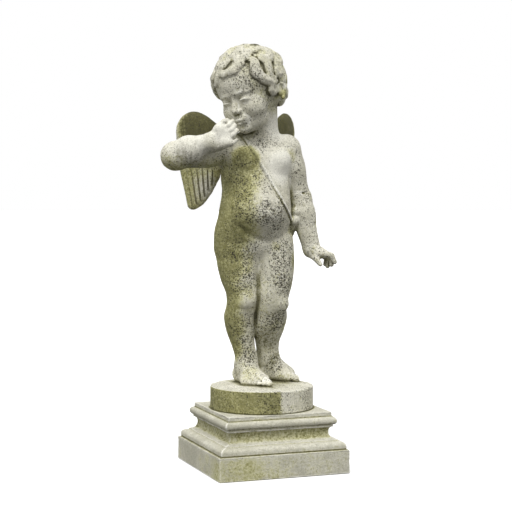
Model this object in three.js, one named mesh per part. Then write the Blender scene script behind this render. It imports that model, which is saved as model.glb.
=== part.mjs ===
// A stone putto on a round base, standing on a moulded square plinth.
// Millimetres, +Z up, the statue faces -Y, the origin is the middle of the plinth's underside.
// Every form is a distance function shaped like clay: rounded limbs and lumps are blended together,
// folds and hollows are cut out, and the skin of the result is meshed and thinned to flat facets.
import * as THREE from "three";

const { sin, cos, min, max, abs, sqrt, ceil, round, PI } = Math;
const DEG = PI / 180;



// ---- driving sizes, in millimetres
const PLINTH_TOP = 154.0;
const GAP = 0.3;
const [DISC_RADIUS, DISC_HEIGHT] = [134.0, 58.0];
const FLOOR = PLINTH_TOP + DISC_HEIGHT;      // where the feet stand

// ---- skeleton
const [ANKLE_R, ANKLE_L] = [[-27, 45, 268], [45, 74, 278]];
const [BELLY, CHEST] = [[-11, 12, 682], [-8, 20, 785]];
const [NECK_BASE, HEAD] = [[3, 26, 850], [-28, 10, 988]];
const [SHOULDER_R, ELBOW_R, WRIST_R] = [[-88, 26, 828], [-226, 29, 807], [-150, -48, 841]];
const [SHOULDER_L, ELBOW_L, WRIST_L] = [[77, 29, 825], [116, 30, 697], [139, -4, 564]];

const WING_HINGE = [0, 75];
const [STRAP_POINT, STRAP_NORMAL] = [[-18, -16, 799], [0.834, -0.213, 0.51]];

// level sections: height, x, y, half width, depth in front, depth behind
const TORSO = [
  [846, 0, 28, 66, 36, 36],
  [822, -4, 26, 88, 50, 46],
  [790, -7, 24, 92, 64, 50],
  [755, -11, 22, 92, 71, 50],
  [718, -10, 20, 90.5, 81, 46],
  [682, -12, 19, 93.5, 91, 46],
  [650, -14, 20, 97, 86, 52],
  [620, -17, 24, 101, 70, 62],
  [590, -17, 27, 102, 58, 68],
  [556, -14, 29, 98, 48, 66],
  [534, -10, 30, 84, 34, 52],
  [500, -9, 30, 58, 20, 34],
  [470, -8, 30, 30, 8, 16],
];
const LEG_R = [
  [606, -46, 36, 58, 52, 54],
  [560, -53, 37, 57, 52, 54],
  [525, -54, 34, 54, 52, 50],
  [483, -51, 28, 48, 48, 46],
  [452, -47, 22, 42, 41, 41],
  [428, -47, 21, 40, 38, 37],
  [392, -51, 31, 39.5, 37, 42],
  [357, -46, 38, 37, 35, 41],
  [308, -34.5, 43, 30.5, 29, 31],
  [275, -26, 45, 28.5, 27, 27],
  [240, -26, 48, 27, 27, 27],
];
const LEG_L = [
  [606, 38, 22, 52, 50, 54],
  [560, 42, 18, 52, 52, 52],
  [525, 42, 13, 50, 52, 50],
  [483, 39, 9, 48, 48, 46],
  [446, 33, 4, 43, 41, 40],
  [411, 31, 8, 40, 36, 37],
  [385, 34, 19, 42, 34, 40],
  [351, 33, 38, 42, 32, 37],
  [321, 37, 55, 33.5, 28, 31],
  [296, 41, 66, 30.5, 26, 27],
  [258, 43, 76, 30, 26, 26],
];
const PLINTH_HALF = 175;
const BLOCK_TOP = 60;
const FIGURE_FACETS = 8200;
const GRID = 4.4;                   // spacing of the grid the figure's skin is found on

// ---------------------------------------------------------------- points and axes

function norm(x, y, z = 0) {
  return sqrt(x * x + y * y + z * z);
}

function off(p, x, y, z) {
  return [p[0] + x, p[1] + y, p[2] + z];
}

function mix(a, b, t) {
  return a.map((v, i) => v * (1 - t) + b[i] * t);
}

// The point x, y, z along the columns of axes from p.
function toward(p, axes, x, y, z) {
  return p.map((v, i) => v + axes[i][0] * x + axes[i][1] * y + axes[i][2] * z);
}

// Axes as columns: turned about Z, then the new X, then the new Y, in degrees.
function turned(yaw, pitch = 0, roll = 0) {
  const euler = new THREE.Euler(pitch * DEG, roll * DEG, yaw * DEG, "ZXY");
  const e = new THREE.Matrix4().makeRotationFromEuler(euler).elements;
  return [0, 1, 2].map((row) => [e[row], e[row + 4], e[row + 8]]);
}

// ---------------------------------------------------------------- shapes
// A shape is a box (lo, hi) that holds it and its signed distance at a point.

function shape(lo, hi, distance) {
  return { lo, hi, distance };
}

function ball(centre, radii, axes) {
  const [a, b, c] = radii;
  const reach = axes
    ? axes.map((row) => norm(row[0] * a, row[1] * b, row[2] * c))
    : radii;
  return shape(centre.map((v, i) => v - reach[i]), centre.map((v, i) => v + reach[i]), (x, y, z) => {
    let [u, v, w] = [x - centre[0], y - centre[1], z - centre[2]];
    if (axes) {
      [u, v, w] = [0, 1, 2].map((k) => u * axes[0][k] + v * axes[1][k] + w * axes[2][k]);
    }
    const k0 = norm(u / a, v / b, w / c);
    const k1 = norm(u / a / a, v / b / b, w / c / c) + 1e-9;
    return k0 < 0.02 ? -min(a, b, c) : (k0 * (k0 - 1)) / k1;
  });
}

// A bent rod with round ends, its radius changing from point to point.
function path(points, radii) {
  const r = max(...radii);
  const lo = [0, 1, 2].map((i) => min(...points.map((p) => p[i])) - r);
  const hi = [0, 1, 2].map((i) => max(...points.map((p) => p[i])) + r);
  const pieces = points.slice(1).map((b, i) => {
    const a = points[i];
    const d = [b[0] - a[0], b[1] - a[1], b[2] - a[2]];
    return { a, d, l2: d[0] ** 2 + d[1] ** 2 + d[2] ** 2 + 1e-9, ra: radii[i], rb: radii[i + 1] };
  });
  return shape(lo, hi, (x, y, z) => {
    let best = Infinity;
    for (const { a, d, l2, ra, rb } of pieces) {
      const [u, v, w] = [x - a[0], y - a[1], z - a[2]];
      const t = max(0, min(1, (u * d[0] + v * d[1] + w * d[2]) / l2));
      best = min(best, norm(u - t * d[0], v - t * d[1], w - t * d[2]) - ra - (rb - ra) * t);
    }
    return best;
  });
}

function limb(a, b, ra, rb) {
  return path([a, b], [ra, rb]);
}

// A flat tapered rod: half widths ra and rb, half thicknesses ta and tb along normal.
function blade(a, b, ra, rb, ta, tb, normal) {
  const r = max(ra, rb, ta, tb);
  const n = new THREE.Vector3(...normal).normalize().toArray();
  const d = [b[0] - a[0], b[1] - a[1], b[2] - a[2]];
  const l2 = d[0] ** 2 + d[1] ** 2 + d[2] ** 2 + 1e-9;
  const lo = a.map((v, i) => min(v, b[i]) - r);
  const hi = a.map((v, i) => max(v, b[i]) + r);
  return shape(lo, hi, (x, y, z) => {
    let [u, v, w] = [x - a[0], y - a[1], z - a[2]];
    const t = max(0, min(1, (u * d[0] + v * d[1] + w * d[2]) / l2));
    [u, v, w] = [u - t * d[0], v - t * d[1], w - t * d[2]];
    const wide = ra + (rb - ra) * t;
    const thick = ta + (tb - ta) * t;
    const h = u * n[0] + v * n[1] + w * n[2];
    const across = sqrt(max(0, u * u + v * v + w * w - h * h));
    const k0 = norm(across / wide, h / thick);
    const k1 = norm(across / wide / wide, h / thick / thick) + 1e-9;
    return k0 < 0.05 ? -min(wide, thick) : (k0 * (k0 - 1)) / k1;
  });
}

// A standing form from level sections (height, x, y, half width, depth in front, depth behind),
// smooth from one to the next.
function stack(rows) {
  const edge = 10;
  const level = [...rows].sort((p, q) => p[0] - q[0]);
  const last = level.length - 1;
  const slope = (i, k) => {
    const [p, q] = [level[max(0, i - 1)], level[min(last, i + 1)]];
    return (q[k] - p[k]) / (q[0] - p[0]);
  };
  const slopes = level.map((row, i) => row.map((v, k) => slope(i, k)));
  const section = (z) => {
    let i = 0;
    while (i < last - 1 && level[i + 1][0] <= z) i++;
    const h = level[i + 1][0] - level[i][0];
    const t = (z - level[i][0]) / h;
    return [1, 2, 3, 4, 5].map((k) =>
      (2 * t ** 3 - 3 * t ** 2 + 1) * level[i][k] + (t ** 3 - 2 * t ** 2 + t) * h * slopes[i][k] +
      (3 * t ** 2 - 2 * t ** 3) * level[i + 1][k] + (t ** 3 - t ** 2) * h * slopes[i + 1][k]);
  };
  const [bottom, top] = [level[0][0], level[last][0]];
  const wide = max(...rows.map((r) => r[3])) + 3;
  const deep = max(...rows.map((r) => max(r[4], r[5]))) + 3;
  const lo = [min(...rows.map((r) => r[1])) - wide, min(...rows.map((r) => r[2])) - deep, bottom];
  const hi = [max(...rows.map((r) => r[1])) + wide, max(...rows.map((r) => r[2])) + deep, top];
  return shape(lo, hi, (x, y, z) => {
    const level = max(bottom + edge, min(top - edge, z));
    const [cx, cy, half, front, back] = section(level);
    const [u, v] = [x - cx, y - cy];
    const depth = v < 0 ? front : back;
    const k0 = norm(u / half, v / depth);
    const k1 = norm(u / half / half, v / depth / depth) + 1e-9;
    const side = k0 < 0.05 ? -min(half, depth) : (k0 * (k0 - 1)) / k1;
    if (level === z) return side;
    return norm(max(side + edge, 0), z - level) + min(side + edge, 0) - edge;
  });
}

// An upright drum standing on foot, its edges rounded.
function drum(foot, radius, height, edge) {
  const lo = off(foot, -radius, -radius, 0);
  const hi = off(foot, radius, radius, height);
  return shape(lo, hi, (x, y, z) => {
    const r = norm(x - foot[0], y - foot[1]) - (radius - edge);
    const h = abs(z - foot[2] - height / 2) - (height / 2 - edge);
    return min(max(r, h), 0) + norm(max(r, 0), max(h, 0)) - edge;
  });
}

// A cord laid round a body where a plane cuts it.
function girdle(body, point, normal, halfWidth, proud) {
  const n = new THREE.Vector3(...normal).normalize().toArray();
  const lo = body.lo.map((v) => v - proud);
  const hi = body.hi.map((v) => v + proud);
  const small = min(halfWidth, proud);
  return shape(lo, hi, (x, y, z) => {
    const side = (x - point[0]) * n[0] + (y - point[1]) * n[1] + (z - point[2]) * n[2];
    return norm(side / halfWidth, body.distance(x, y, z) / proud) * small - small;
  });
}

// Strokes laid down in order: each is blended onto, or cut from, what is there already.
class Clay {
  strokes = [];
  lo = [Infinity, Infinity, Infinity];
  hi = [-Infinity, -Infinity, -Infinity];

  add(form, blend = 6) {
    this.strokes.push({ form, blend, cuts: false });
    this.lo = this.lo.map((v, i) => min(v, form.lo[i]));
    this.hi = this.hi.map((v, i) => max(v, form.hi[i]));
    return this;
  }

  cut(form, blend = 3) {
    this.strokes.push({ form, blend, cuts: true });
    return this;
  }

  distance(x, y, z) {
    let d = 1000;
    for (const { form, blend, cuts } of this.strokes) {
      const e = form.distance(x, y, z);
      const h = max(blend - abs(cuts ? d + e : d - e), 0) / blend;
      d = cuts ? max(d, -e) + (h * h * blend) / 4 : min(d, e) - (h * h * blend) / 4;
    }
    return d;
  }

  at(p) {
    return this.distance(p[0], p[1], p[2]);
  }

  // The same clay with only the strokes that come within reach of a box.
  near(lo, hi, reach) {
    const part = new Clay();
    for (const { form, blend, cuts } of this.strokes) {
      const r = reach + blend;
      if (form.lo.some((v, i) => v - r > hi[i]) || form.hi.some((v, i) => v + r < lo[i])) continue;
      const kept = form.near ? form.near(lo, hi, r) : form;
      if (cuts) part.cut(kept, blend);
      else part.add(kept, blend);
    }
    return part;
  }
}

// ---------------------------------------------------------------- the figure

function torso() {
  const c = new Clay();
  c.add(stack(TORSO));
  // shoulders, and the slope from the neck down to them
  c.add(limb(off(SHOULDER_R, 20, 0, -8), off(SHOULDER_L, -20, 0, -8), 36, 36), 20);
  c.add(limb(off(NECK_BASE, 2, 6, 4), off(SHOULDER_R, 16, 4, 0), 30, 26), 20);
  c.add(limb(off(NECK_BASE, 4, 6, 4), off(SHOULDER_L, -14, 2, 0), 30, 26), 20);
  // chest
  c.add(ball(off(CHEST, -40, -30, 14), [42, 34, 34]), 22);
  c.add(ball(off(CHEST, 40, -26, 12), [42, 34, 34]), 22);
  // round belly
  c.add(ball(off(BELLY, 2, -12, -14), [70, 72, 60]), 24);
  // shoulder blades
  c.add(ball(off(CHEST, -44, 34, 18), [38, 24, 44]), 18);
  c.add(ball(off(CHEST, 44, 36, 16), [38, 24, 44]), 18);
  // buttocks
  c.add(ball([-54, 60, 572], [50, 46, 48]), 14);
  c.add(ball([40, 52, 566], [48, 46, 48]), 14);
  // furrow of the back
  c.cut(limb([-8, 106, 540], [-10, 118, 618], 8, 3), 12);
  c.cut(limb([-10, 82, 640], [-4, 86, 800], 7, 6), 22);
  // groin folds under the belly
  c.cut(path([[-92, -46, 626], [-58, -48, 588], [-22, -38, 562]], [3, 3.5, 3.5]), 12);
  c.cut(path([[78, -44, 618], [44, -52, 584], [10, -40, 560]], [3, 3.5, 3.5]), 12);
  // hollow under the breast, breastbone, navel
  c.cut(limb(off(CHEST, 0, -70, 34), off(CHEST, 0, -76, -22), 4, 5), 16);
  c.cut(ball([-9, -80, 677], [6, 9, 9]), 8);
  return c;
}

function rightLeg() {
  const c = new Clay();
  c.add(stack(LEG_R));
  c.add(ball([-44, -7, 434], [22, 14, 20]), 13);
  c.cut(path([[-64, -12, 413], [-46, -21, 408], [-30, -10, 411]], [1.5, 2, 1.5]), 8);
  return c;
}

function leftLeg() {
  const c = new Clay();
  c.add(stack(LEG_L));
  c.add(ball([45, -23, 424], [21, 14, 20]), 13);
  c.cut(path([[26, -31, 397], [48, -35, 393], [66, -18, 396]], [1.5, 2, 1.5]), 8);
  return c;
}

// Heel, instep, the two sides of the ball of the foot, and five toes between the big one and the small one.
function foot(ankle, heel, ballIn, ballOut, bigToe, smallToe) {
  const c = new Clay();
  c.add(limb(ankle, off(heel, 0, 0, 24), 26, 26));
  c.add(ball(off(heel, 0, 0, 20), [27, 27, 24]), 10);
  const instep = mix(ballIn, ballOut, 0.4);
  c.add(limb(off(ankle, 0, 0, -12), off(instep, 0, 0, 17), 27, 19), 14);
  c.add(limb(off(mix(ankle, instep, 0.5), 0, 0, -6), off(instep, 0, 0, 18), 25, 18), 14);
  c.add(limb(off(ballIn, 0, 0, 14), off(ballOut, 0, 0, 11), 14, 11), 12);
  c.add(limb(off(heel, 0, 0, 14), off(ballOut, 0, 0, 10), 17, 12), 12);
  c.add(limb(off(heel, 0, 0, 16), off(ballIn, 0, 0, 13), 16, 13), 10);
  for (let i = 0; i < 5; i++) {
    const t = i / 4;
    const root = off(mix(ballIn, ballOut, t), 0, 0, 11);
    const tip = off(mix(bigToe, smallToe, t), 0, 0, 8.5 - 1.5 * t);
    const thick = 9.5 - 3.0 * min(1, t * 2.5);
    c.add(path([root, off(mix(root, tip, 0.5), 0, 0, 3.5), mix(root, tip, 0.92)],
      [thick * 1.1, thick * 0.92, thick]), 2.5);
  }
  for (let i = 0; i < 4; i++) {
    const t = (i + 0.45) / 4;
    const root = off(mix(ballIn, ballOut, t), 0, 0, 19);
    const tip = off(mix(bigToe, smallToe, t), 0, 0, 10);
    c.cut(path([mix(root, tip, 0.3), off(mix(root, tip, 0.65), 0, 0, 4), mix(root, tip, 1.08)],
      [0.8, 1.6, 2.0]), 2.5);
  }
  return c;
}

function base() {
  const c = new Clay();
  c.add(drum([0, 0, PLINTH_TOP + GAP], DISC_RADIUS, DISC_HEIGHT - GAP, 3));
  return c;
}

function armRight() {
  const c = new Clay();
  c.add(limb(SHOULDER_R, ELBOW_R, 40, 35));
  c.add(ball(mix(SHOULDER_R, ELBOW_R, 0.42), [54, 40, 41]), 14);
  c.add(ball(SHOULDER_R, [42, 40, 40]), 14);
  c.add(ball(off(ELBOW_R, 0, -4, 0), [34, 32, 35]), 10);
  c.add(limb(off(ELBOW_R, 6, -10, 0), WRIST_R, 35, 25), 8);
  c.add(ball(mix(ELBOW_R, WRIST_R, 0.42), [42, 38, 37], turned(-46, 0, 18)), 10);
  return c;
}

function armLeft() {
  const c = new Clay();
  c.add(limb(SHOULDER_L, ELBOW_L, 38, 31));
  c.add(ball(mix(SHOULDER_L, ELBOW_L, 0.36), [37, 39, 52], turned(0, 0, -16)), 14);
  c.add(ball(SHOULDER_L, [38, 38, 36]), 14);
  c.add(ball(off(ELBOW_L, 0, 1, -4), [32, 34, 38]), 10);
  c.add(limb(off(ELBOW_L, 0, -3, -8), WRIST_L, 32, 23), 10);
  c.add(ball(mix(ELBOW_L, WRIST_L, 0.34), [32, 33, 42], turned(0, 16, -8)), 12);
  c.cut(path([[104, 6, 712], [124, -6, 710], [148, 4, 716]], [1, 1.6, 1]), 7);
  return c;
}

// The palm turned out to the front, thumb below, fingertips at the mouth.
function handRight() {
  const c = new Clay();
  c.add(limb(WRIST_R, [-139, -58, 850], 25, 20));
  c.add(ball([-131, -62, 857], [24, 15, 30], turned(-20, 0, -12)), 10);
  // heel of the hand on both sides of the palm
  c.add(ball([-137, -66, 872], [13, 12, 16]), 8);
  c.add(path([[-138, -62, 834], [-128, -70, 836], [-116, -74, 838]], [15, 14, 11]), 10);
  // four fingers
  c.add(path([[-120, -67, 850], [-106, -76, 858], [-93, -73, 869]], [8.5, 7.2, 6]), 5);
  c.add(path([[-123, -64, 864], [-109, -75, 871], [-97, -68, 882]], [8.5, 7.2, 6]), 4);
  c.add(path([[-126, -62, 875], [-115, -72, 882], [-102, -65, 893]], [8, 7, 5.8]), 4);
  c.add(path([[-134, -60, 882], [-127, -68, 892], [-115, -62, 895]], [7.5, 6.5, 5.4]), 4);
  // thumb
  c.add(path([[-122, -70, 836], [-109, -75, 836], [-95, -72, 846]], [9.5, 7.5, 6]), 4);
  c.cut(path([[-150, -76, 818], [-146, -80, 842], [-150, -74, 866]], [2, 2.4, 2]), 5);
  return c;
}

// The back of the hand up, fingers curled down, thumb beside them.
function handLeft() {
  const c = new Clay();
  c.add(limb(WRIST_L, [150, -13, 557], 23, 17));
  c.add(ball([157, -16, 554], [23, 25, 14], turned(-18, 0, 10)), 9);
  c.add(path([[160, -34, 555], [179, -45, 549], [186, -47, 532]], [8.5, 7.2, 6]), 5);
  c.add(path([[166, -24, 556], [185, -33, 545], [183, -33, 524]], [8.5, 7.2, 6]), 4);
  c.add(path([[168, -12, 554], [184, -19, 540], [178, -19, 519]], [8, 7, 5.8]), 4);
  c.add(path([[168, -1, 551], [181, -5, 538], [176, -7, 524]], [7.5, 6.4, 5.4]), 4);
  c.add(path([[139, -17, 548], [142, -31, 538], [148, -41, 526]], [12, 8.5, 6]), 6);
  c.cut(path([[119, -15, 566], [137, -28, 574], [159, -13, 578]], [1.5, 2, 1.5]), 5);
  return c;
}

const HEAD_AXES = turned(-52, 22, -12);

function onHead(x, y, z) {
  return toward(HEAD, HEAD_AXES, x, y, z);
}

// A plain child's face: full cheeks, short nose, lowered eyes. Drawn in the head's own axes, facing -Y.
function face() {
  const c = new Clay();
  c.add(lump(0, 8, 10, 80, 94, 84));
  c.add(lump(0, -44, 20, 60, 48, 50), 20);
  c.add(lump(0, -46, -38, 54, 48, 50), 20);
  for (const s of [-1, 1]) {
    c.add(lump(32 * s, -64, -44, 27, 27, 28), 16);
    c.add(lump(16 * s, -66, -78, 24, 24, 20), 16);
  }
  c.add(lump(0, -86, -86, 19, 16, 14), 12);
  c.add(lump(0, -40, -84, 40, 36, 20), 16);
  // brow, nose
  for (const s of [-1, 1]) {
    c.cut(lump(28 * s, -99, -13, 18, 11, 11), 14);
    c.add(path([onHead(10 * s, -91, 5), onHead(26 * s, -89, 7), onHead(42 * s, -78, 2)],
      [1.2, 1.6, 1.2]), 10);
  }
  c.add(limb(onHead(0, -86, -10), onHead(0, -101, -31), 6, 8), 8);
  c.add(lump(0, -103, -35, 8.5, 8.5, 8), 5);
  for (const s of [-1, 1]) {
    c.add(lump(9 * s, -98, -38, 6.5, 7.5, 6), 4);
    c.cut(lump(5 * s, -102, -45, 2.6, 3.5, 3), 2);
    // eyes: ball, upper and lower lid
    c.add(lump(28 * s, -76, -15, 15, 14, 13), 4);
    c.add(path([onHead(14 * s, -85, -17), onHead(21 * s, -91, -12), onHead(31 * s, -91, -11),
      onHead(42 * s, -81, -17)], [1.6, 2.2, 2.2, 1.6]), 3);
    c.add(path([onHead(15 * s, -85, -19), onHead(27 * s, -88, -24), onHead(41 * s, -80, -19)],
      [1.4, 1.8, 1.4]), 3);
  }
  // mouth
  c.add(lump(0, -92, -60, 21, 13, 14), 12);
  c.cut(limb(onHead(0, -107, -47), onHead(0, -106, -54), 2.2, 2.6), 4);
  for (const s of [-1, 1]) {
    c.add(path([onHead(1 * s, -104.5, -58), onHead(8 * s, -102.5, -58.5), onHead(16 * s, -95, -63)],
      [3.4, 3.1, 1.6]), 3);
  }
  c.add(path([onHead(-12, -97, -68), onHead(0, -102, -69), onHead(12, -97, -68)], [2.4, 4.2, 2.4]), 3);
  c.cut(path([onHead(-18, -96, -64), onHead(-8, -105.5, -63.5), onHead(0, -107, -62.5),
    onHead(8, -105.5, -63.5), onHead(18, -96, -64)], [0.9, 1, 1, 1, 0.9]), 1.6);
  c.cut(limb(onHead(-8, -101.5, -77), onHead(8, -101.5, -77), 2.2, 2.2), 9);
  // ears
  for (const s of [-1, 1]) {
    c.add(lump(76 * s, 9, -33, 8, 13, 19), 4);
    c.add(path([onHead(78 * s, 0, -20), onHead(83 * s, 9, -14), onHead(85 * s, 18, -22),
      onHead(84 * s, 18, -36), onHead(81 * s, 9, -48), onHead(80 * s, 3, -53)], [2.5, 3.4, 3.8, 3.6, 3.4, 4.6]), 2.5);
    c.cut(lump(86 * s, 7, -32, 5, 6, 10), 3);
  }
  return c;
}

function lump(x, y, z, rx, ry, rz) {
  return ball(onHead(x, y, z), [rx, ry, rz], HEAD_AXES);
}

// The smooth cap of hair under the locks.
function cap() {
  const c = new Clay();
  c.add(lump(0, 16, 15, 82, 91, 82.5));
  c.add(lump(0, 38, -20, 65, 55, 48), 20);
  c.add(lump(0, 42, -46, 50, 42, 32), 24);
  return c;
}

const CAP = cap();

// What the locks lie on: the cap and the forehead.
function skull() {
  const c = new Clay();
  c.add(CAP);
  c.add(lump(0, 8, 10, 80, 94, 84), 8);
  c.add(lump(0, -44, 20, 60, 48, 50), 20);
  c.add(lump(0, -40, -30, 62, 50, 50), 20);
  return c;
}

const SKULL = skull();

// A point lift above the skull, by degrees round from the face towards his left and degrees up.
function onScalp(around, up, lift) {
  const [a, e] = [around * DEG, up * DEG];
  const [x, y, z] = [sin(a) * cos(e), -cos(a) * cos(e), sin(e)];
  let r = 120;
  for (let i = 0; i < 9; i++) {
    r = r - SKULL.at(onHead(x * r, 12 + y * r, 12 + z * r));
  }
  r = r + lift;
  return onHead(x * r, 12 + y * r, 12 + z * r);
}

// A winding line on the scalp between two places (degrees round, degrees up).
function wavy(start, end, sway, waves) {
  const line = [];
  const [da, de] = [end[0] - start[0], end[1] - start[1]];
  const size = norm(da, de);
  for (let i = 0; i < 11; i++) {
    const t = i / 10;
    const w = sway * sin(2 * PI * waves * t);
    line.push([start[0] + da * t - w * de / size, start[1] + de * t + w * da / size]);
  }
  return line;
}

// A line on the scalp wound in to its middle; size is its outer radius in millimetres.
function snail(around, up, size, turns, hand, phase) {
  const line = [];
  const steps = round(turns * 9);
  for (let i = 0; i < steps + 1; i++) {
    const t = i / steps;
    const a = phase + hand * t * turns * 2 * PI;
    const s = size * (1 - 0.8 * t) / 1.6;
    line.push([around + s * cos(a) / cos(up * DEG), up + s * sin(a)]);
  }
  return line;
}

// Three strands side by side on a line on the scalp, drawn together at its ends. gap is in degrees.
function tress(line, thick, gap, lift) {
  const c = new Clay();
  const n = line.length - 1;
  for (const j of [-1, 0, 1]) {
    const [points, radii] = [[], []];
    for (let i = 0; i < n + 1; i++) {
      const [a, b] = [line[max(i - 1, 0)], line[min(i + 1, n)]];
      const k = cos(line[i][1] * DEG);
      const [da, du] = [(b[0] - a[0]) * k, b[1] - a[1]];
      const size = norm(da, du);
      const swell = sin(PI * (0.12 + 0.8 * i / n));
      const side = j * gap * swell;
      points.push(onScalp(line[i][0] - side * du / size / k, line[i][1] + side * da / size,
        lift + (1 - j * j) * 2.5 * swell));
      radii.push(thick * (0.45 + 0.55 * swell));
    }
    c.add(path(points, radii), 2);
  }
  return c;
}

// A full curl: a low mound with a tress wound round it.
function bunch(around, up, size, hand, phase) {
  const c = new Clay();
  const m = 0.9 * size;
  c.add(ball(onScalp(around, up, -0.5 * size), [m, m, m]));
  c.add(tress(snail(around, up, size, 0.85, hand, phase), 0.33 * size, 0.16 * size, 0.22 * size), 2);
  return c;
}

const TORSO_CLAY = torso();

// loose curls: round, up, size, hand, phase
const CURLS = [
  [-74, -16, 20, 1, 1.6],
  [-62, 14, 23, -1, 0.5],
  [-44, 34, 25, 1, 2],
  [-22, 52, 24, -1, 0.4],
  [34, 52, 25, -1, 3],
  [72, -22, 19, 1, 1],
  [60, 60, 26, 1, 0.6],
  [90, 4, 21, -1, 1],
  [84, 36, 26, -1, 2],
  [-90, -2, 20, 1, 1],
  [-82, 40, 24, 1, 1],
  [-52, 66, 24, -1, 2],
  [8, 72, 22, 1, 4],
  [110, 22, 22, 1, 3],
  [-108, 20, 22, -1, 0],
];

function hair() {
  const c = new Clay();
  c.add(CAP);
  // shallow waves from the crown
  for (let i = 0; i < 14; i++) {
    c.add(tress(wavy([25.7 * i, 76], [25.7 * i + 20, 46], 4, 1), 4.5, 4.5, -1), 3);
  }
  // long locks down the back, each ending in curls
  for (let i = 0; i < 8; i++) {
    const a = 120 + 17 * i;
    c.add(tress(wavy([a - 6, 46], [a + 6, 2], 4, 1.2), 4.8, 3.2, 0.5), 2);
    c.add(tress(wavy([a + 3, 8], [a - 2, -36], 4, 1), 4.6, 3, 0), 2);
    c.add(bunch(a - 2, -38 - 5 * sin(2.6 * i), 15, 1, 1.6 + i), 2);
    c.add(bunch(a + 7, -54 - 4 * sin(3.1 * i), 13, -1, 0.7 * i), 2);
  }
  // the big forelock, rolled in on itself
  c.add(tress(snail(8, 46, 36, 0.9, 1, 3.6), 7.5, 3.9, 4), 2);
  c.add(tress(wavy([-4, 40], [-28, 18], -5, 0.8), 6, 3.2, 4), 2);
  // bunches at the temples
  for (const s of [-1, 1]) {
    c.add(tress(wavy([46 * s, 44], [54 * s, 4], 6 * s, 1), 7.2, 3.8, 5), 2);
    c.add(tress(wavy([56 * s, 20], [65 * s, -22], -6 * s, 0.9), 7.2, 3.8, 5), 2);
    c.add(tress(wavy([68 * s, 34], [78 * s, -8], 6 * s, 1), 7.2, 3.8, 4), 2);
    c.add(tress(wavy([92 * s, 30], [100 * s, -8], 5 * s, 1), 6.4, 3.4, 3), 2);
  }
  for (const k of CURLS) {
    c.add(bunch(k[0], k[1], k[2], k[3], k[4]), 2.5);
  }
  return c;
}

// A folded wing, side -1 for his right and 1 for his left: seven long feathers under a smooth covert.
function wing(side) {
  const c = new Clay();
  function at(s, z, t) {
    return [WING_HINGE[0] + side * (30 + 4 * side + (s - t) * 0.7071), WING_HINGE[1] + (s + t) * 0.7071, z];
  }
  const n = [-side * 0.7071, 0.7071, 0];
  for (let i = 0; i < 7; i++) {
    const k = i / 6;
    const root = at(178 - 106 * k, 812 - 6 * k, 2);
    const tip = at(150 - 70 * k ** 0.9, 681 + 76 * k ** 1.5, 2 - 2 * k);
    c.add(blade(root, tip, 17, 14, 11, 8, n), 12);
  }
  for (let i = 0; i < 6; i++) {
    const k = (i + 0.5) / 6;
    for (const t of [-1, 1]) {
      const root = at(178 - 106 * k, 800 - 6 * k, 2 + 12.5 * t);
      const tip = at(152 - 72 * k ** 0.9, 666 + 76 * k ** 1.5, 1 + 8 * t);
      c.cut(path([root, tip], [1.7, 2.2]), 3);
    }
  }
  for (let i = 0; i < 5; i++) {
    const k = i / 4;
    c.add(blade(at(170 - 90 * k, 830, 3), at(168 - 92 * k, 794 - 6 * k, 3), 16, 12, 14, 8.5, n), 3);
  }
  c.add(blade(at(145, 876, 2), at(142, 828, 2), 53, 52, 16, 13, n), 8);
  c.add(blade(at(118, 866, 2), at(16, 822, 0), 48, 30, 15, 16, n), 12);
  c.add(blade(at(90, 800, 0), at(10, 800, 0), 26, 22, 12, 15, n), 12);
  return c;
}

// A cord round the body, from his right shoulder down to the quiver at his left hip.
function strap() {
  return girdle(TORSO_CLAY, STRAP_POINT, STRAP_NORMAL, 3.4, 3.9);
}

function quiver() {
  const c = new Clay();
  c.add(limb([96, 12, 648], [70, 76, 530], 17, 13));
  c.add(ball([97, 4, 662], [16, 16, 13]), 5);
  c.add(ball([90, -2, 640], [13, 13, 13]), 4);
  return c;
}

// The soft fold under the belly, laid on the front of a body.
function bellyFold(body) {
  const line = [];
  for (const at of [[-78, 628], [-50, 606], [-20, 591], [8, 586], [34, 590], [58, 604], [77, 624]]) {
    let y = -170;
    for (let i = 0; i < 14; i++) {
      y = y + body.at([at[0], y, at[1]]);
    }
    y = y - 1;
    line.push([at[0], y, at[1]]);
  }
  return path(line, [1.5, 3, 4, 4, 4, 3, 1.5]);
}

function figure() {
  const f = new Clay();
  f.add(TORSO_CLAY);
  f.add(strap(), 1.5);
  f.add(rightLeg(), 14);
  f.add(leftLeg(), 10);
  f.cut(bellyFold(f), 12);
  f.add(foot(ANKLE_R, [-25, 73, FLOOR], [0, -16, FLOOR], [-42, 4, FLOOR], [4, -48, FLOOR],
    [-37, -10, FLOOR]), 12);
  f.add(foot(ANKLE_L, [32, 84, FLOOR], [84, 36, FLOOR], [100, 73, FLOOR], [106, 17, FLOOR],
    [121, 52, FLOOR]), 12);
  f.add(base(), 3);
  f.add(armRight(), 16);
  f.add(armLeft(), 10);
  f.add(handRight(), 6);
  f.add(handLeft(), 6);
  f.add(limb(off(NECK_BASE, 4, 6, -14), off(HEAD, 28, 20, -60), 42, 39), 16);
  f.add(limb(off(NECK_BASE, 14, 16, -16), off(HEAD, 44, 24, -58), 42, 37), 16);
  f.add(face(), 10);
  f.add(hair(), 4);
  f.add(wing(-1), 8);
  f.add(wing(1), 8);
  f.add(quiver(), 4);
  return f;
}

// ---------------------------------------------------------------- skin

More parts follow.
